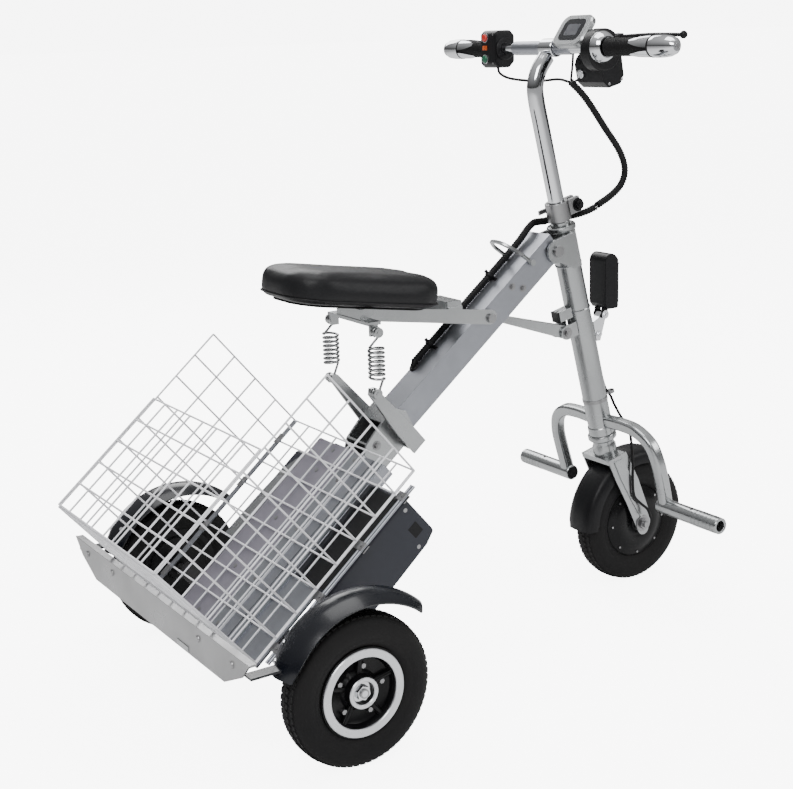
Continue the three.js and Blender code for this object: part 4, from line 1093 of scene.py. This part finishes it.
# ---- switch box
switches = inside(column, barU, 0, barW, columnTilt)
switchLook = {"y": (140, 190), "face": -23, "buttonsY": 173}
near, far = switchLook["y"]
face, buttonsY = switchLook["face"], switchLook["buttonsY"]
housing = Piece("plastic")
body = [(face, -28), (face, 28), (-15, 35), (15, 35), (24, 25), (24, -25), (13, -36), (-15, -36)]
housing.plate(body, near, far)
housing.make("switchBox", "stem", switches, ["switch_box"], bevel=4)
switchTrim = Piece("plastic")
for y in (near - 3, far):
    switchTrim.lathe([(11.4, y), (20, y), (22, y + 1.5), (20, y + 3), (11.4, y + 3)])
switchTrim.use("chrome")
for z in (21, -19):
    switchTrim.lathe([(7.5, face - 1.6), (9.2, face - 1.6), (9.2, face + 1), (7.5, face + 1)],
                     (0, buttonsY, z), "X", 32)
switchTrim.use("steel")
for z in (27, -27):
    switchTrim.rod((face + 0.5, near + 9, z), (face - 0.4, near + 9, z), 2.2, 16)
switchTrim.make("switchTrim", "stem", switches, bevel=0.3)
for name, finish, z in (("red_button", "red", 21), ("green_button", "green", -19)):
    button = Piece(finish)
    button.lathe([(0, face - 5), (4, face - 4.8), (6.4, face - 3.8), (7.2, face - 2.6), (7.2, face + 2.4),
                  (0, face + 2.4)],
                 (0, buttonsY, z), "X", 32)
    button.make(name.split("_")[0] + "Button", name, switches, [name])
slider = Piece("orange")
slider.box(face - 2.4, face + 2.4, buttonsY - 6, buttonsY + 6, -2.3, 6.3)
slider.box(face - 5, face - 2, buttonsY - 3, buttonsY + 3, -2, 6)
slider.make("orangeSlider", "orange_switch", switches, ["orange_switch"], bevel=0.7)

# ---- display
display = inside(column, 61, -69.5, 1009.8, -40)
podLook = {"length": 66, "width": 84}
pod = Piece("silver")
outer = roundedRect(podLook["length"], podLook["width"], 19, 10)
innerEdge = roundedRect(46, 58, 13, 10)
shell = [(1.0, -6.5, 0.9), (1.0, -4.5, 1.0), (1.0, 3.5, 1.0), (1.0, 6.1, 0.94)]
loops = [[(x * k, y * k, z) for x, y in outer] for _, z, k in shell]
loops += [[(x, y, z) for x, y in innerEdge] for z in (6.1, 4.6)]
pod.rings(loops)
pod.use("chrome")
for y in (-24, 24):
    pod.sweep(circle(4.4, 20), smooth([(-4, y, -4), (-8, y * 0.9, -9), (-14, y * 0.8, -12)]), up=(0, 1, 0))
pod.make("displayPod", "stem", display, ["display_pod"], sharp=35)
window = Piece("window")
window.slab(roundedRect(45.4, 57.4, 12.7, 10), 4.9, 5.9)
window.make("displayWindow", "stem", display, ["display_window"], bevel=0.3)
screen = Piece("case")
screen.slab(roundedRect(24, 34, 2, 3), 5.8, 6.0)
screen.make("displayScreen", "stem", display)

# ---- brake housing, key and lever
brake = Piece("plastic")
brake.lathe([(11.8, -142), (34, -142), (38, -138), (38, -116), (34, -112), (11.8, -112)], (66, 0, 974))
brake.plate([(56, 962), (50, 952), (50, 920), (60, 907), (88, 907), (99, 920), (103, 975), (90, 985)],
            -139.6, -66.4)
brake.box(84, 105.6, -150, -128, 980, 994)
brake.use("chrome")
brake.lathe([(11.7, -160), (19, -160), (24, -156), (28, -149), (28.2, -143), (26, -141), (11.7, -141)],
            (barU, 0, barW))
brake.use("steel")
brake.rod((100, -140, 993), (100, -140, 995), 4.4, 6)
for u, w in ((62, 914), (92, 914), (96, 966)):
    brake.rod((u, -140.2, w), (u, -138, w), 3, 16)
    brake.rod((u, -66, w), (u, -68, w), 3, 16)
brake.make("brakeHousing", "stem", column, ["brake_housing"], bevel=1.4)
key = Piece("chrome")
key.lathe([(0, 44), (6.6, 44), (8, 45.4), (8, 59), (0, 59)], (0, -84, 936), "X", 40)
key.box(40, 46, -85.4, -82.6, 930.5, 941.5)
key.make("keyBarrel", "key", column, ["key_barrel"], bevel=0.4)
lever = Piece("plastic")
leverRoute = smooth([(100, -138, 987.2), (104, -156, 987.2), (110, -185, 987.2), (112.6, -220, 987.2),
                     (111.4, -258, 987.2),
                     (109, -290, 987.2)])
lever.sweep(roundedRect(11, 8.2, 3.4), leverRoute, up=(0, 0, 1),
            scales=[1 - 0.28 * i / (len(leverRoute) - 1) for i in range(len(leverRoute))])
ball = [(0, -289.4)] + [(6.9 * math.sin(math.radians(a)),
                         -296 + 6.9 * math.cos(math.radians(a))) for a in range(25, 180, 15)]
lever.lathe(ball + [(0, -302.9)], (109, 0, 987.2), segments=32)
lever.use("steel")
lever.rod((100, -140, 983.2), (100, -140, 991.4), 5, 24)
lever.make("brakeLever", "brake_lever", column, ["brake_lever"], sharp=45)
print("controls")

# ---- cables
cableLook = {"loom": 0.0061, "switch": 0.0026, "thin": 0.0028}
loomRoute = [(700, -28, 1026), (722, -28, 1008), (745, -28, 984), (782, -28, 938), (819, -28, 892),
             (833, -28, 856),
             (824, -28, 828), (800, -26, 808), (770, -22, 792)]
switchRoute = [(652, 134, 1056), (652, 126, 1043), (664, 106, 1033), (690, 62, 1028), (702, 14, 1031),
               (699, -16, 1028),
               (702, -26, 1025)]
collarRoute = [(766, -21, 788.7), (752, -10, 780), (738, 6, 773), (722, 24, 768), (708, 35, 765),
               (692, 39, 764)]
beamRoute = [(688, 39, 763), (674, 38, 763.5), (656, 32, 763.5), (636, 25, 755), (610, 22.5, 731.5),
             (575, 22.5, 702.5),
             (528, 22.5, 664.6), (433, 22.5, 588.8), (368, 22.5, 536.5)]
def spot(local, place):
    return local @ Vector(place)


stemBend = ("steering", "stem", spot(ground, loomRoute[-1]), spot(ground, (833, -28, 856)))
collarBend = ("column", "steering", spot(ground, (698, 38, 764)), spot(ground, (764, -20, 788)))
beamBend = ("frame", "column", spot(ground, beamRoute[5]), spot(ground, beamRoute[0]))
for name, node, body, route in (("loomStem", "loom_stem", stemBend, loomRoute),
                                ("loomCollar", "loom_collar", collarBend, collarRoute),
                                ("loomBeam", "loom_beam", beamBend, beamRoute)):
    grown(name, "wrappedLoom", {"Radius": cableLook["loom"]}, "cable", ground, body, path=smooth(route, 10),
          instead=[node])
grown("switchCable", "tubeAlong", {"Radius": cableLook["switch"]}, "cable", ground, "stem",
      path=smooth(switchRoute, 10))
for name, route in (("podCableA", [(672, -66, 1092), (680, -58, 1078), (690, -44, 1056), (698, -30, 1030)]),
                    ("podCableB", [(690, -96, 1040), (694, -84, 1036), (698, -60, 1034),
                                   (700, -34, 1026)])):
    grown(name, "tubeAlong", {"Radius": 0.0022}, "cable", ground, "stem", path=smooth(route, 10))
# the bundle dips into the beam through a grommet
grown("loomEnd", "tubeAlong", {"Radius": 0.0058}, "cable", beam, "frame",
      path=smooth([(484, 22.5, 7.6), (477, 22.5, 7.2), (470, 22.5, 4), (468, 22.5, -1)], 6))
frontRoute = [(33, 12, 405), (29, 6, 380), (28.5, 3, 340), (30, 0, 300), (36, -4, 280), (36.4, -7.5, 271),
              (36, -10.2, 263)]
motorRoute = [(36, -10, 264), (38.5, -20, 238), (37, -36, 221), (35, -45, 205), (32, -46.5, 175),
              (26, -47.4, 140), (17, -48.4, 106),
              (13, -49, 72), (24, -51, 50), (33, -58, 34), (35, -61, 14)]
grown("frontCable", "tubeAlong", {"Radius": cableLook["thin"]}, "cable", column, "column",
      path=smooth(frontRoute, 10),
      instead=["front_cable"])
grown("motorCable", "tubeAlong", {"Radius": cableLook["thin"]}, "cable", column,
      ("column", "steering", spot(column, motorRoute[0]), spot(column, (35, -45, 205))),
      path=smooth(motorRoute, 10),
      instead=["motor_cable"])
clip = Piece("steel")
clip.lathe([(23.8, 284), (25.6, 284), (25.6, 291), (23.8, 291)], axis="Z")
clip.lathe([(6.2, -3), (7.6, -3), (7.6, 3), (6.2, 3)], (39, -4, 288), "Z", 24)
clip.box(24, 33, -6, -2, 286, 290)
clip.make("cableClip", "column", column)
print("cables")

# ---- seat cushion
cushionLook = {"length": 306, "width": 186, "height": 56, "puff": 3.0, "grain": 0.005, "swell": 0.0022}
seatFrame = tilted(224, 698, 9)


def cushionSection(length, width, corner, z, count=10):
    return [(x, y, z) for x, y in roundedRect(length, width, corner, count)]


def buildCushion():
    long, wide, high = cushionLook["length"], cushionLook["width"], cushionLook["height"]
    half = high / 2
    layers = [(-half, 14, 48), (3 - half, 5, 56), (9 - half, 1, 60), (-8, 0, 62), (8, 0, 62),
              (half - 12, 1.5, 60),
              (half - 6, 6, 57), (half - 2.5, 14, 50), (half - 0.8, 27, 40), (half, 48, 28)]
    pad = Piece("leather")
    pad.rings([cushionSection(long - 2 * inset, wide - 2 * inset, corner, z) for z, inset,
               corner in layers])
    bmesh.ops.recalc_face_normals(pad.bm, faces=pad.bm.faces)
    bmesh.ops.transform(pad.bm, matrix=seatFrame, verts=pad.bm.verts)
    mesh = bpy.data.meshes.new("seatCushion")
    pad.bm.to_mesh(mesh)
    pad.bm.free()
    cushion = bpy.data.objects.new("seatCushion", mesh)
    bpy.context.scene.collection.objects.link(cushion)
    remesh = cushion.modifiers.new("even", "REMESH")
    remesh.mode = "VOXEL"
    remesh.voxel_size = cushionLook["grain"]
    even = baked(cushion)
    cushion.data = even
    back = seatFrame.inverted()
    start = [v.co.copy() for v in even.vertices]
    held = cushion.vertex_groups.new(name="held")
    for v in even.vertices:
        z = (back @ v.co).z
        held.add([v.index], 1.0 if z < -20 else 0.0, "REPLACE")
    cloth = cushion.modifiers.new("cloth", "CLOTH")
    cloth.settings.quality = 5
    cloth.settings.mass = 0.3
    cloth.settings.tension_stiffness = 25
    cloth.settings.compression_stiffness = 18
    cloth.settings.bending_stiffness = 1.5
    cloth.settings.use_pressure = True
    cloth.settings.uniform_pressure_force = cushionLook["puff"]
    cloth.settings.vertex_group_mass = "held"
    cloth.settings.effector_weights.gravity = 0
    cloth.point_cache.frame_start, cloth.point_cache.frame_end = 1, 20
    for step in range(1, 21):
        bpy.context.scene.frame_set(step)
    puffed = baked(cushion)
    cushion.data = puffed
    bpy.context.scene.frame_set(1)
    for v, was in zip(puffed.vertices, start):      # no puff past what the cover allows
        move = v.co - was
        if move.length > cushionLook["swell"]:
            v.co = was + move.normalized() * cushionLook["swell"]
    taut = cushion.modifiers.new("taut", "SMOOTH")
    taut.factor, taut.iterations = 0.5, 10
    finer = cushion.modifiers.new("finer", "SUBSURF")
    finer.levels = finer.render_levels = 1
    final = baked(cushion)
    cushion.vertex_groups.clear()
    cushion.data = final
    final.materials.clear()
    final.materials.append(look["leather"])
    final.polygons.foreach_set("use_smooth", [True] * len(final.polygons))
    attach(cushion, "seat")
    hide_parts("seat_cushion")


buildCushion()
piping = cushionSection(cushionLook["length"] - 2, cushionLook["width"] - 2, 60, -19)
grown("seatPiping", "tubeAlong", {"Radius": 0.0014, "Sides": 10}, "leather", seatFrame, "seat",
      path=piping + piping[:1])
print("cushion")

# ---- floor, light and camera
stageLook = {"reach": 200, "paper": 0.9, "glow": 7.0, "average": 0.34, "low": 0.04, "high": 0.75}


def seenDirectly(tree, straight, other):
    # one value for what the camera sees itself, another for everything else
    path = tree.nodes.new("ShaderNodeLightPath")
    choice = tree.nodes.new("ShaderNodeMix")
    if isinstance(other, bpy.types.NodeSocket):
        link(tree, other, choice.inputs["A"])
    else:
        choice.inputs["A"].default_value = other
    choice.inputs["B"].default_value = straight
    link(tree, path.outputs["Is Camera Ray"], choice.inputs["Factor"])
    return choice.outputs["Result"]


reach = stageLook["reach"]
floorMesh = bpy.data.meshes.new("floor")
floorMesh.from_pydata([(-reach, -reach, -0.0005), (reach, -reach, -0.0005), (reach, reach, -0.0005),
                       (-reach, reach, -0.0005)],
                      [], [(0, 1, 2, 3)])
floor = bpy.data.objects.new("floor", floorMesh)
bpy.context.scene.collection.objects.link(floor)
paper = bpy.data.materials.new("paper")
paper.use_nodes = True
paperShader = paper.node_tree.nodes["Principled BSDF"]
paperShader.inputs["Base Color"].default_value = (stageLook["paper"],) * 3 + (1,)
paperShader.inputs["Roughness"].default_value = 1
paperShader.inputs["Specular IOR Level"].default_value = 0
paperShader.inputs["Emission Color"].default_value = (1, 1, 1, 1)
link(paper.node_tree, seenDirectly(paper.node_tree, stageLook["glow"], 0.0),
     paperShader.inputs["Emission Strength"])
floorMesh.materials.append(paper)

world = bpy.data.worlds.new("studio")
bpy.context.scene.world = world
world.use_nodes = True
background = world.node_tree.nodes["Background"]
background.inputs["Color"].default_value = (1, 1, 1, 1)
shown = stageLook["glow"] + stageLook["paper"] * stageLook["average"]
# the room is dark towards its foot and pale overhead, which gives bright metal something to mirror
skyward = world.node_tree.nodes.new("ShaderNodeTexCoord")
height = world.node_tree.nodes.new("ShaderNodeSeparateXYZ")
link(world.node_tree, skyward.outputs["Generated"], height.inputs[0])
shade = world.node_tree.nodes.new("ShaderNodeMapRange")
for label, value in (("From Min", 0.0), ("From Max", 0.8), ("To Min", stageLook["low"]),
                     ("To Max", stageLook["high"])):
    shade.inputs[label].default_value = value
link(world.node_tree, height.outputs["Z"], shade.inputs["Value"])
strength = seenDirectly(world.node_tree, shown, shade.outputs["Result"])
link(world.node_tree, strength, background.inputs["Strength"])

lightLook = {
    "key": ((-2.4, -2.6, 3.2), 1.8, 105), "fill": ((2.4, -2.8, 2.2), 1.4, 45),
             "rim": ((1.0, 3.2, 2.8), 2.0, 80),
    "top": ((0.0, 0.0, 4.0), 2.4, 90),
}
for name, (place, size, power) in lightLook.items():
    lampData = bpy.data.lights.new(name, "AREA")
    lampData.size = size
    lampData.energy = power
    light = bpy.data.objects.new(name, lampData)
    light.location = place
    light.rotation_euler = (Vector((0, 0, 0.5)) - Vector(place)).to_track_quat("-Z", "Y").to_euler()
    bpy.context.scene.collection.objects.link(light)

cameraLook = {"place": (-1037.8, -2133.1, 1124.7), "yaw": 57.6928, "down": 14.1940, "roll": -1.95,
              "lens": 64.782}
yaw, down, roll = (math.radians(cameraLook[k]) for k in ("yaw", "down", "roll"))
ahead = Vector((math.cos(down) * math.cos(yaw), math.cos(down) * math.sin(yaw), -math.sin(down)))
right = Vector((math.sin(yaw), -math.cos(yaw), 0))
over = right.cross(ahead)
sideways = right * math.cos(roll) + over * math.sin(roll)
upward = over * math.cos(roll) - right * math.sin(roll)
cameraData = bpy.data.cameras.new("camera")
cameraData.sensor_width = 36
cameraData.lens = cameraLook["lens"]
camera = bpy.data.objects.new("camera", cameraData)
turn = Matrix((sideways, upward, -ahead)).transposed().to_4x4()
camera.matrix_world = Matrix.Translation(ground @ Vector(cameraLook["place"])) @ turn
bpy.context.scene.collection.objects.link(camera)
bpy.context.scene.camera = camera
print("stage")
